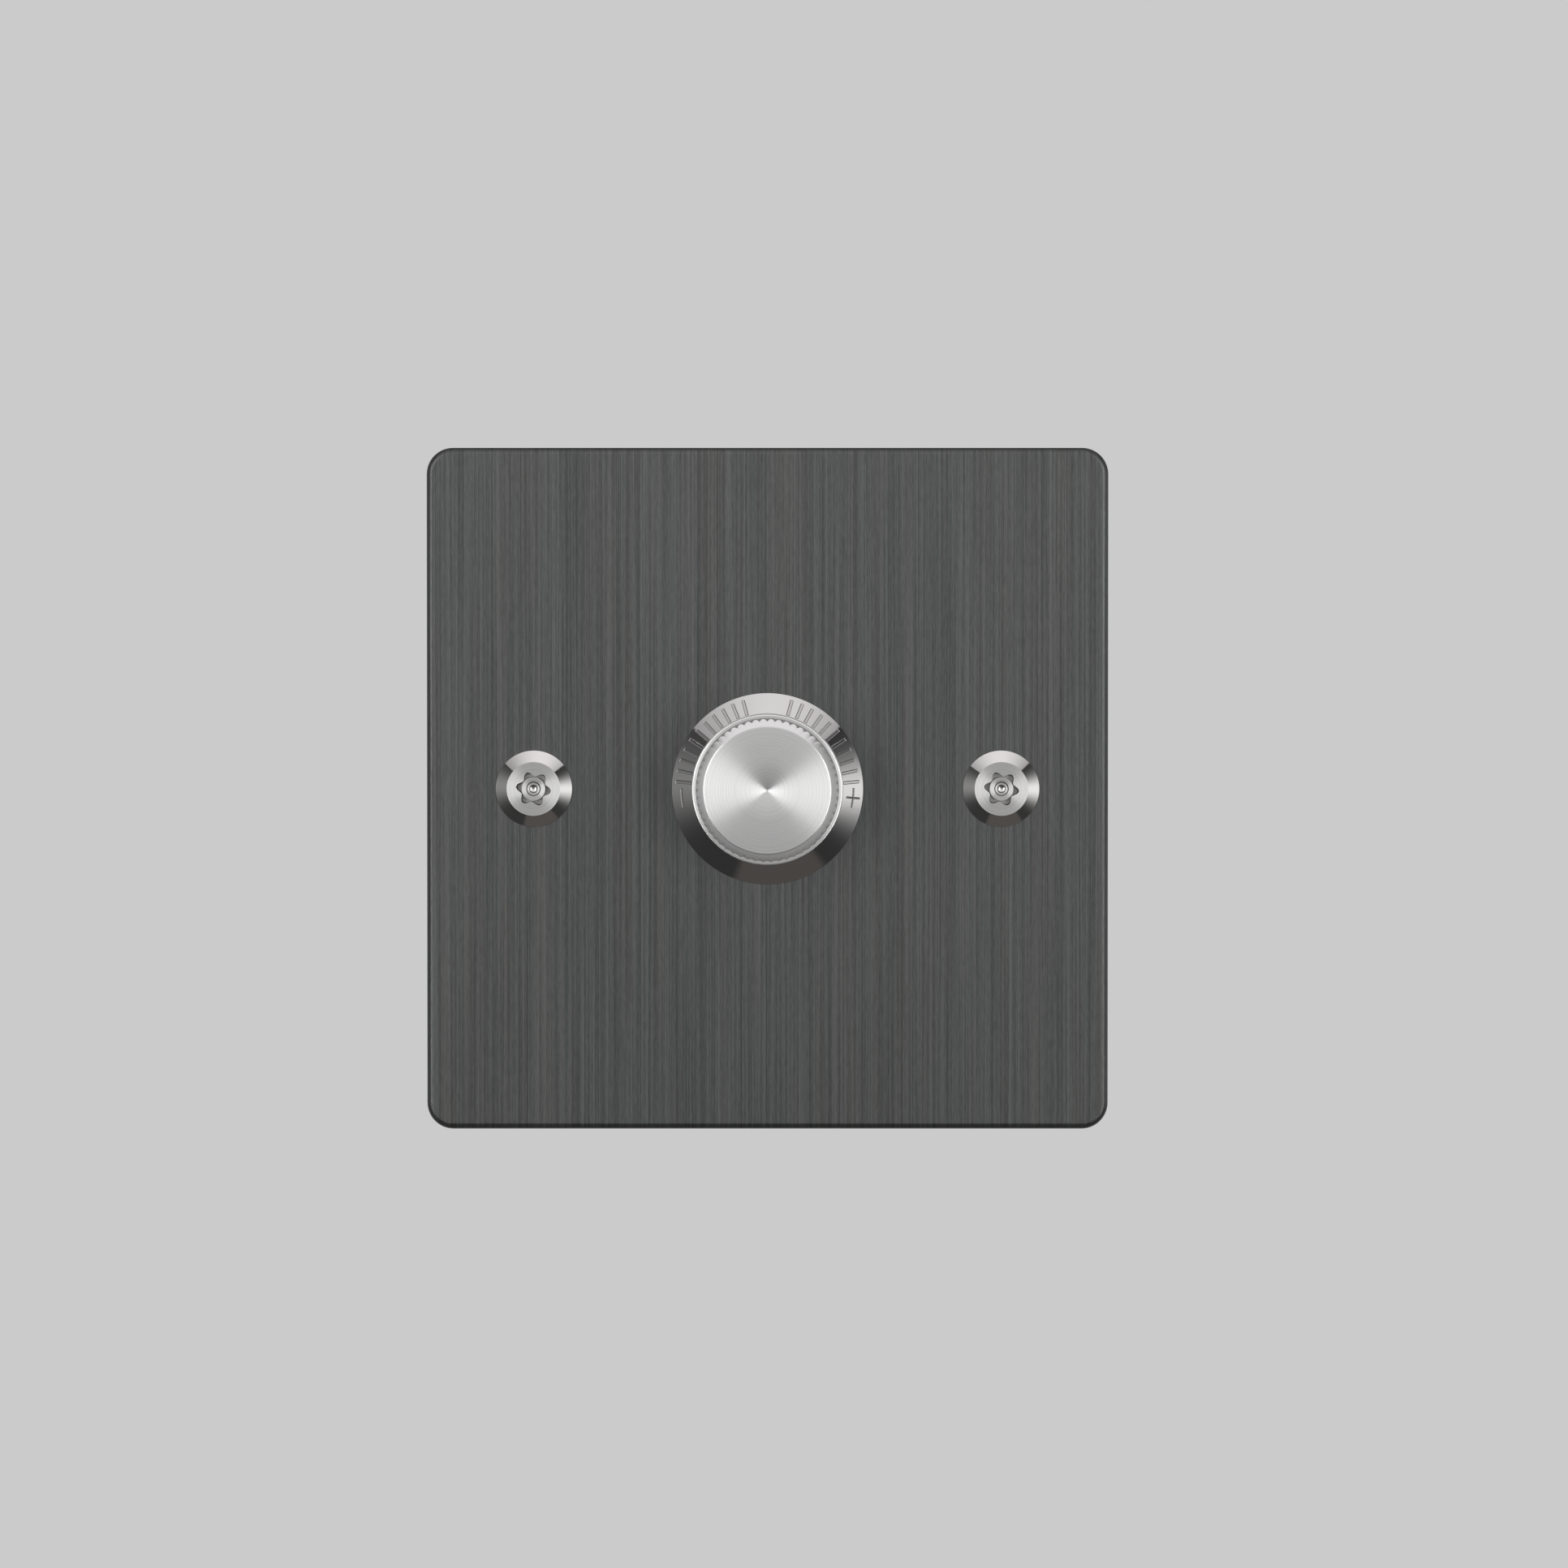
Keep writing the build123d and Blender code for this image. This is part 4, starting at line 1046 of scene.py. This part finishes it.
def knob_mesh(sizes):
    """Turned knob about the z axis: neck, body with a land, fluted grip, scalloped chamfer, flat face."""
    bm = bmesh.new()
    pitch = tau / sizes.flute_count
    angles = all_round(sizes.flute_count * STEPS_PER_FLUTE)
    front, body = KNOB.front, KNOB.right

    def crest(angle):
        """Radius of the grip, which falls off from each ridge to the valleys beside it."""
        aside = 2 * ((angle / pitch) % 1) - 1
        return sizes.grip_radius - sizes.flute_depth * aside * aside

    fall = sizes.chamfer_drop / (sizes.grip_radius - sizes.face_radius)
    slant = Vector((-1, fall)).normalized() * sizes.face_edge

    def rim(angle):
        """Height at which the chamfer meets the grip."""
        return front - fall * (crest(angle) - sizes.face_radius)

    shell = [
        (sizes.insert_radius, sizes.insert_front, 0),
        (sizes.insert_radius, sizes.cavity_top, 0),
        (sizes.cavity_radius, sizes.cavity_top, 0),
        (sizes.cavity_radius, KNOB.back, 0),
        (sizes.neck_radius, KNOB.back, 0),
        (sizes.neck_radius, sizes.shoulder, 0),
        (body, sizes.shoulder, sizes.edge),
        (body, sizes.land, sizes.edge),
        (sizes.grip_radius + sizes.face_edge, sizes.land, 0),
    ]
    rows = [tip(bm, sizes.insert_front)]
    rows += [ring(bm, angles, radius, height) for radius, height in eased(shell, EDGE_STEPS)]
    skin(bm, rows[:-1], SATIN)
    skin(bm, rows[-2:], SPUN)
    rows = [rows[-1], ring(bm, angles, crest, sizes.land)]
    # painted shade: this dark ring, level with the land between the body's edge and the ridges, stands for
    # the shade in the valleys
    skin(bm, rows, RIDGE_SHADE)
    rows = rows[-1:]
    for k in range(EDGE_STEPS + 1):
        shift = bent(Vector((0, -sizes.face_edge)), Vector((0, 0)), slant, k / EDGE_STEPS)
        rows.append(ring(bm, angles, lambda a: crest(a) + shift.x, lambda a: rim(a) + shift.y))
    lip = 2 * sizes.face_edge
    lip_radius, lip_height = sizes.face_radius + lip, front - lip * fall
    rows.append(ring(bm, angles, lip_radius, lip_height))
    skin(bm, rows, SATIN)
    edge = [
        (lip_radius, lip_height, 0),
        (sizes.face_radius, front, sizes.face_edge),
        (sizes.face_radius / 2, front, 0),
        (sizes.centre_mark, front, 0),
    ]
    rows = [ring(bm, angles, radius, height) for radius, height in eased(edge, EDGE_STEPS)]
    rows.append(tip(bm, front - 0.3 * sizes.centre_mark))
    skin(bm, rows, SPUN)
    return bm


def spring_mesh(sizes):
    """Round wire wound between the switch's base and the contact bridge, with closed ends."""
    bm = bmesh.new()
    mean = SPRING.right - sizes.wire_radius
    low, high = SPRING.back + sizes.wire_radius, SPRING.front - sizes.wire_radius
    sides, steps = 12, 40 * sizes.turns
    rows = []
    for k in range(steps + 1):
        along = k / steps
        angle = tau * sizes.turns * along
        rise = low + (high - low) * (along - sin(tau * along) / tau)
        row = []
        for n in range(sides):
            around = tau * n / sides
            radius = mean + sizes.wire_radius * cos(around)
            height = rise + sizes.wire_radius * sin(around)
            row.append(bm.verts.new((radius * cos(angle), radius * sin(angle), height)))
        rows.append(row)
    skin(bm, rows)
    flat_face(bm, rows[0])
    flat_face(bm, rows[-1])
    return bm


# Operators


class DIMMER_OT_face_plate(Operator):
    """Build the brushed face plate with its holes and hollow back"""

    bl_idname = "dimmer.face_plate"
    bl_label = "Face Plate"

    def execute(self, context):
        settings = context.scene.dimmer
        tints = settings.colours
        greys = (tints.plate_dark, tints.plate_light, tints.plate_cool, tints.plate_warm)
        grain = finish("brushed_plate", brushed_plate, *greys)
        mesh = plate_mesh(settings.plate)
        piece = make_piece(
            mesh, "plate_brushed", SLOTS["face_plate"], "switch_body", grain, placed=Matrix.Identity(4)
        )
        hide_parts("face_plate")
        return {"FINISHED"}


class DIMMER_OT_fixing_screws(Operator):
    """Build the two fixing screws with their six-lobe recess and thread"""

    bl_idname = "dimmer.fixing_screws"
    bl_label = "Fixing Screws"

    def execute(self, context):
        settings = context.scene.dimmer
        skirt = finish("screw_polish", polished_metal, settings.colours.screw)
        top = finish("screw_facing", spun_metal, settings.colours.facing)
        floor = finish("recess_floor", matt_metal, settings.colours.recess)
        # dark walls and rings of the recess: painted shade
        edge = finish("recess_shade", matt_metal, settings.colours.recess_shade)
        point = finish("pin_point", engraved_line, settings.colours.facing)
        for side, x in (("left", -SCREW_X), ("right", SCREW_X)):
            placed = Matrix.Translation((x, 0, 0)) @ UPRIGHT
            mesh = screw_mesh(settings.screws)
            piece = make_piece(
                mesh, f"screw_{side}", SLOTS["fixing_screws"], "switch_body", skirt, top, floor, edge, point,
                placed=placed, sharp=FINE_ANGLE,
            )
            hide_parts("fixing_screws")
        return {"FINISHED"}


class DIMMER_OT_dial_ring(Operator):
    """Build the polished dial ring with its engraved ticks and signs"""

    bl_idname = "dimmer.dial_ring"
    bl_label = "Dial Ring"

    def execute(self, context):
        settings = context.scene.dimmer
        bright = finish("dial_polish", polished_metal, settings.colours.dial)
        tick = finish("engraved_tick", engraved_line, settings.colours.tick)
        sign = finish("engraved_sign", matt_metal, settings.colours.sign)
        mesh = dial_mesh(settings.dial)
        piece = make_piece(
            mesh, "dial_engraved", SLOTS["dial_ring"], "switch_body", bright, tick, sign, sharp=FINE_ANGLE
        )
        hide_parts("dial_ring")
        return {"FINISHED"}


class DIMMER_OT_control_knob(Operator):
    """Build the spun knob with its fluted grip"""

    bl_idname = "dimmer.control_knob"
    bl_label = "Control Knob"

    def execute(self, context):
        settings = context.scene.dimmer
        spun = finish("spun_metal", spun_metal, settings.colours.spun)
        satin = finish("satin_metal", satin_metal, settings.colours.satin)
        # the dark ring at the foot of the ridges is painted shade
        dull_and_shade = finish("ridge_foot_shade", matt_metal, settings.colours.dull_and_shade)
        mesh = knob_mesh(settings.knob)
        piece = make_piece(mesh, "knob_spun", SLOTS["control_knob"], "knob", spun, satin, dull_and_shade)
        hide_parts("control_knob")
        for hidden in (piece, *[frame["nodes"][node] for node in INSIDE_KNOB]):
            hidden.visible_glossy = False  # the screws mirror the studio, not the knob
        return {"FINISHED"}


class DIMMER_OT_return_spring(Operator):
    """Build the return spring at one length. In the switch it is pressed together as the knob goes in"""

    bl_idname = "dimmer.return_spring"
    bl_label = "Return Spring"

    def execute(self, context):
        settings = context.scene.dimmer
        wire = finish("spring_wire", spring_wire, settings.colours.spring)
        coil = spring_mesh(settings.spring)
        piece = make_piece(coil, "spring_coil", SLOTS["return_spring"], "switch_body", wire)
        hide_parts("return_spring")
        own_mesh(piece)
        return {"FINISHED"}


def dress(finishes):
    """Gives every node in these slots the finish of its slot."""
    nodes = [node for node in SLOTS if SLOTS[node] in finishes]
    if not nodes:
        raise RuntimeError(f"no node takes its finish from {sorted(finishes)}")
    for node in nodes:
        materials = frame["nodes"][node].data.materials
        for n in range(len(materials)):
            materials[n] = finishes[SLOTS[node]]


class DIMMER_OT_metal_fittings(Operator):
    """Finish the small metal pieces: terminals, bush, shaft, washers, screws and heat-sink plate"""

    bl_idname = "dimmer.metal_fittings"
    bl_label = "Metal Fittings"

    def execute(self, context):
        tints = context.scene.dimmer.colours
        dress({
            "brass": finish("drawn_brass", drawn_brass, tints.brass),
            "plated_steel": finish("zinc_plate", zinc_plate, tints.zinc),
            "spring_steel": finish("spring_wire", spring_wire, tints.spring),
            "aluminium": finish("rolled_aluminium", rolled_aluminium, tints.aluminium),
        })
        return {"FINISHED"}


class DIMMER_OT_mouldings(Operator):
    """Finish the plastic pieces: rear case, terminal block, switch and wafers"""

    bl_idname = "dimmer.mouldings"
    bl_label = "Mouldings"

    def execute(self, context):
        tints = context.scene.dimmer.colours
        dress({
            "black_plastic": finish("black_moulding", black_moulding, tints.black),
            "white_plastic": finish("white_moulding", white_moulding, tints.white),
            "brown_laminate": finish("pressed_laminate", pressed_laminate, tints.laminate),
        })
        return {"FINISHED"}


class DIMMER_OT_board_parts(Operator):
    """Finish the main board and what it carries"""

    bl_idname = "dimmer.board_parts"
    bl_label = "Board Parts"

    def execute(self, context):
        tints = context.scene.dimmer.colours
        dress({
            "board_green": finish("board_lacquer", board_lacquer, tints.lacquer),
            "copper_wire": finish("wound_copper", wound_copper, tints.copper),
            "ferrite": finish("sintered_ferrite", sintered_ferrite, tints.ferrite),
            "yellow_case": finish("capacitor_box", capacitor_box, tints.box, tints.tin),
            "dark_sleeve": finish("shrunk_sleeve", shrunk_sleeve, tints.sleeve, tints.tin),
            "grey_pad": finish("silicone_pad", silicone_pad, tints.pad),
            "fuse_body": finish("fired_ceramic", fired_ceramic, tints.ceramic, tints.tin),
        })
        return {"FINISHED"}


# Stage, with places and sizes in metres

BAND_RADIUS, BAND_FRONT, BAND_BACK = 0.9, -0.62, 0.08
BAND_STEPS = 96
# The band's soft patches: (degrees from the right by way of the top, narrowness)
RIGHT_PATCH, LEFT_PATCH = (-1.5, 20.0), (176.0, 14.0)
RIGHT_FADE = (-0.42, -0.22)  # where the right patch starts and where it is full, from front to back
FRONT_FADE = (-0.38, -0.55)  # the same for the lighter front, from back to front
LOWER_TURN, LOWER_END, LOWER_FULL = 278.0, 31.0, 24.0  # degrees: the patch's middle, reach and full part
LOWER_TINT = (1.0, 0.86, 0.78)
CARD_RADIUS, CARD_FRONT = 2.0, -1.25
CARD_FADE = 0.6  # how far above and below the middle the card's grey changes
PANEL_FRONT, PANEL_BACK, PANEL_HEIGHT = -0.54, 0.30, 0.55
PANEL_CORNERS = ((-0.44, PANEL_FRONT), (0.40, PANEL_FRONT), (0.95, PANEL_BACK), (-1.02, PANEL_BACK))
PANEL_MIDDLE, PANEL_HALF = 0.04, 0.75  # where the panel is brightest, and how far that reaches
PANEL_TINT = (1.0, 0.982, 0.99)
STRIPS = (("strip_left", (-0.5, -0.8, 0.07)), ("strip_right", (0.5, -0.8, -0.03)))
STRIP_WIDTH, STRIP_HEIGHT = 0.16, 0.70
FLOOR_STEPS = 128


def make_backdrop(settings):
    """Plain grey world."""
    world = bpy.data.worlds.new("backdrop")
    bpy.context.scene.world = world
    tree = Tree(world)
    grey = tree.node("ShaderNodeBackground", None, {"Color": opaque(settings.backdrop), "Strength": 1.0})
    tree.end(grey, "ShaderNodeOutputWorld")


def floor_finish(tree, pale, radius):
    """Pale floor that fades into the backdrop and is clear from below."""
    point = tree.metres()
    x, y, _ = tree.parts(point)
    fade = tree.ease(x.hypot(y), 0.55 * radius, radius)
    below = tree.node("ShaderNodeNewGeometry", output="Backfacing")
    speckle = tree.noise(point, 60.0, 2.0)
    tone = tree.mix(speckle * 0.06, pale, toned(pale, 0.8))
    matt = tree.node("ShaderNodeBsdfDiffuse", None, {"Color": tone})
    clear = tree.node("ShaderNodeBsdfTransparent")
    tree.end(tree.node("ShaderNodeMixShader", None, {0: fade.above(below), 1: matt, 2: clear}))


def make_floor(settings):
    """Round pale floor below the plate, outside the picture."""
    bm = bmesh.new()
    bmesh.ops.create_circle(bm, cap_ends=True, segments=FLOOR_STEPS, radius=settings.floor_radius)
    pale = finish("floor_finish", floor_finish, settings.floor, settings.floor_radius)
    floor = add_mesh(bm, "floor", pale)
    floor.location = (0, 0, -settings.floor_drop)
    floor.visible_glossy = False


def surround_finish(tree, dark, right, left, lower):
    """Dark studio, lighter towards the camera, with a bright patch at the right, a dim one at the left
    and a faint brown one below.
    """
    x, y, z = tree.parts(tree.metres())
    out = x.hypot(z)

    def patch(middle, narrowness):
        """Bright towards an angle."""
        towards = (x * cos(radians(middle)) + z * sin(radians(middle))) / out
        return towards.above(0.0) ** narrowness

    beside = tree.ease(y, *RIGHT_FADE)  # the right patch ends before the camera
    sides = beside * right * patch(*RIGHT_PATCH) + left * patch(*LEFT_PATCH) + dark
    # towards the camera the studio is lighter, most of all low down
    down = (0.0 - z / out).above(0.0)
    front = (0.12 + 2.1 * down * (1.0 - 0.75 * down)) * tree.ease(y, *FRONT_FADE)
    below = tree.ease(patch(LOWER_TURN, 1.0), cos(radians(LOWER_END)), cos(radians(LOWER_FULL)))
    tree.glow(tree.mix(lower * below, tree.mix(sides + front, BLACK, WHITE), LOWER_TINT, "ADD"))


def upright_ring(bm, radius, y):
    """A row of points round the y axis."""
    return [bm.verts.new((radius * cos(a), y, radius * sin(a))) for a in all_round(BAND_STEPS)]


def show_in_metal_only(piece):
    piece.visible_camera = False
    piece.visible_diffuse = False
    piece.visible_shadow = False


def make_surround(settings):
    """Band round the object, outside the cameras, that shows in bright metal and nowhere else."""
    bm = bmesh.new()
    skin(bm, [upright_ring(bm, BAND_RADIUS, y) for y in (BAND_FRONT, BAND_BACK)])
    levels = (settings.surround, settings.right_glow, settings.left_glow, settings.lower_glow)
    band = add_mesh(bm, "surround", finish("surround_finish", surround_finish, *levels))
    show_in_metal_only(band)


def card_finish(tree, grey, lift):
    """Grey card that grows brighter upwards."""
    height = tree.parts(tree.metres())[2]
    tree.glow(tree.shaded(grey, height, 1 - lift, 1 + lift, -CARD_FADE, CARD_FADE))


def make_card(settings):
    """Round card in front of the object, behind the lamps, that shows in bright metal and nowhere else."""
    bm = bmesh.new()
    bm.faces.new(upright_ring(bm, CARD_RADIUS, CARD_FRONT))
    grey = finish("card_finish", card_finish, settings.backdrop, settings.card_lift)
    card = add_mesh(bm, "front_card", grey)
    show_in_metal_only(card)


def panel_finish(tree, peak):
    """Overhead panel: brightest in its middle and towards the camera."""
    x, y, _ = tree.parts(tree.metres())
    aside = x - PANEL_MIDDLE
    inward = PANEL_HALF - (aside * aside).root()
    glow = (0.42 + 0.58 * tree.ease(inward, 0.0, PANEL_HALF)) * (0.62 - 2.5 * y) * peak
    tree.glow(tree.mix(glow, BLACK, PANEL_TINT))


def make_panel(settings):
    """Flat glowing panel above the object."""
    bm = bmesh.new()
    bm.faces.new(level_row(bm, reversed(PANEL_CORNERS), PANEL_HEIGHT))
    panel = add_mesh(bm, "overhead_panel", finish("panel_finish", panel_finish, settings.panel))
    panel.visible_camera = False


def make_strip(name, brightness, place):
    """Upright strip lamp of even brightness that faces the plate's centre."""
    lamp = bpy.data.lights.new(name, "AREA")
    lamp.shape = "RECTANGLE"
    lamp.size = STRIP_WIDTH
    lamp.size_y = STRIP_HEIGHT
    lamp.energy = brightness * pi * STRIP_WIDTH * STRIP_HEIGHT
    holder = add_object(name, lamp)
    holder.location = place
    holder.rotation_euler = (-Vector(place)).to_track_quat("-Z", "Y").to_euler()
    holder.visible_camera = False


def make_camera(settings):
    """Camera at the picture's angle, a little above the plate's middle."""
    aim = Vector((settings.aim_right, -PLATE.front, settings.aim_up))
    lift, aside = settings.camera_lift, settings.camera_turn
    back = Vector((sin(aside) * cos(lift), -cos(aside) * cos(lift), sin(lift)))
    data = bpy.data.cameras.new("camera")
    data.lens = data.sensor_width * settings.camera_distance / settings.picture_width
    data.clip_start = 0.01
    camera = add_object("camera", data)
    camera.location = aim + back * settings.camera_distance
    camera.rotation_euler = (-back).to_track_quat("-Z", "Y").to_euler()
    bpy.context.scene.camera = camera


class DIMMER_OT_stage(Operator):
    """Set the backdrop, floor, lamps and camera"""

    bl_idname = "dimmer.stage"
    bl_label = "Stage"

    def execute(self, context):
        settings = context.scene.dimmer.stage
        context.scene.view_settings.view_transform = "Standard"
        make_backdrop(settings)
        make_floor(settings)
        make_surround(settings)
        make_card(settings)
        make_panel(settings)
        for name, place in STRIPS:
            make_strip(name, settings.strip, place)
        make_camera(settings)
        return {"FINISHED"}


class DIMMER_PT_pieces(Panel):
    """Lists the steps that build the dimmer switch"""

    bl_label = "Dimmer Switch"
    bl_idname = "DIMMER_PT_pieces"
    bl_space_type = "VIEW_3D"
    bl_region_type = "UI"
    bl_category = "Dimmer"

    def draw(self, context):
        for step in STEPS:
            self.layout.operator(step.bl_idname)


STEPS = (
    DIMMER_OT_face_plate,
    DIMMER_OT_fixing_screws,
    DIMMER_OT_dial_ring,
    DIMMER_OT_control_knob,
    DIMMER_OT_return_spring,
    DIMMER_OT_metal_fittings,
    DIMMER_OT_mouldings,
    DIMMER_OT_board_parts,
    DIMMER_OT_stage,
)
GROUPS = (
    PlateSizes,
    ScrewSizes,
    DialSizes,
    KnobSizes,
    SpringSizes,
    FinishColours,
    StageSettings,
    DimmerSettings,
)
CLASSES = (*GROUPS, *STEPS, DIMMER_PT_pieces)


def register():
    for made in CLASSES:
        bpy.utils.register_class(made)
    bpy.types.Scene.dimmer = PointerProperty(type=DimmerSettings)


def unregister():
    del bpy.types.Scene.dimmer
    for made in reversed(CLASSES):
        bpy.utils.unregister_class(made)


def main():
    register()
    for step in STEPS:
        group, name = step.bl_idname.split(".")
        getattr(getattr(bpy.ops, group), name)()


if __name__ == "__main__":
    main()
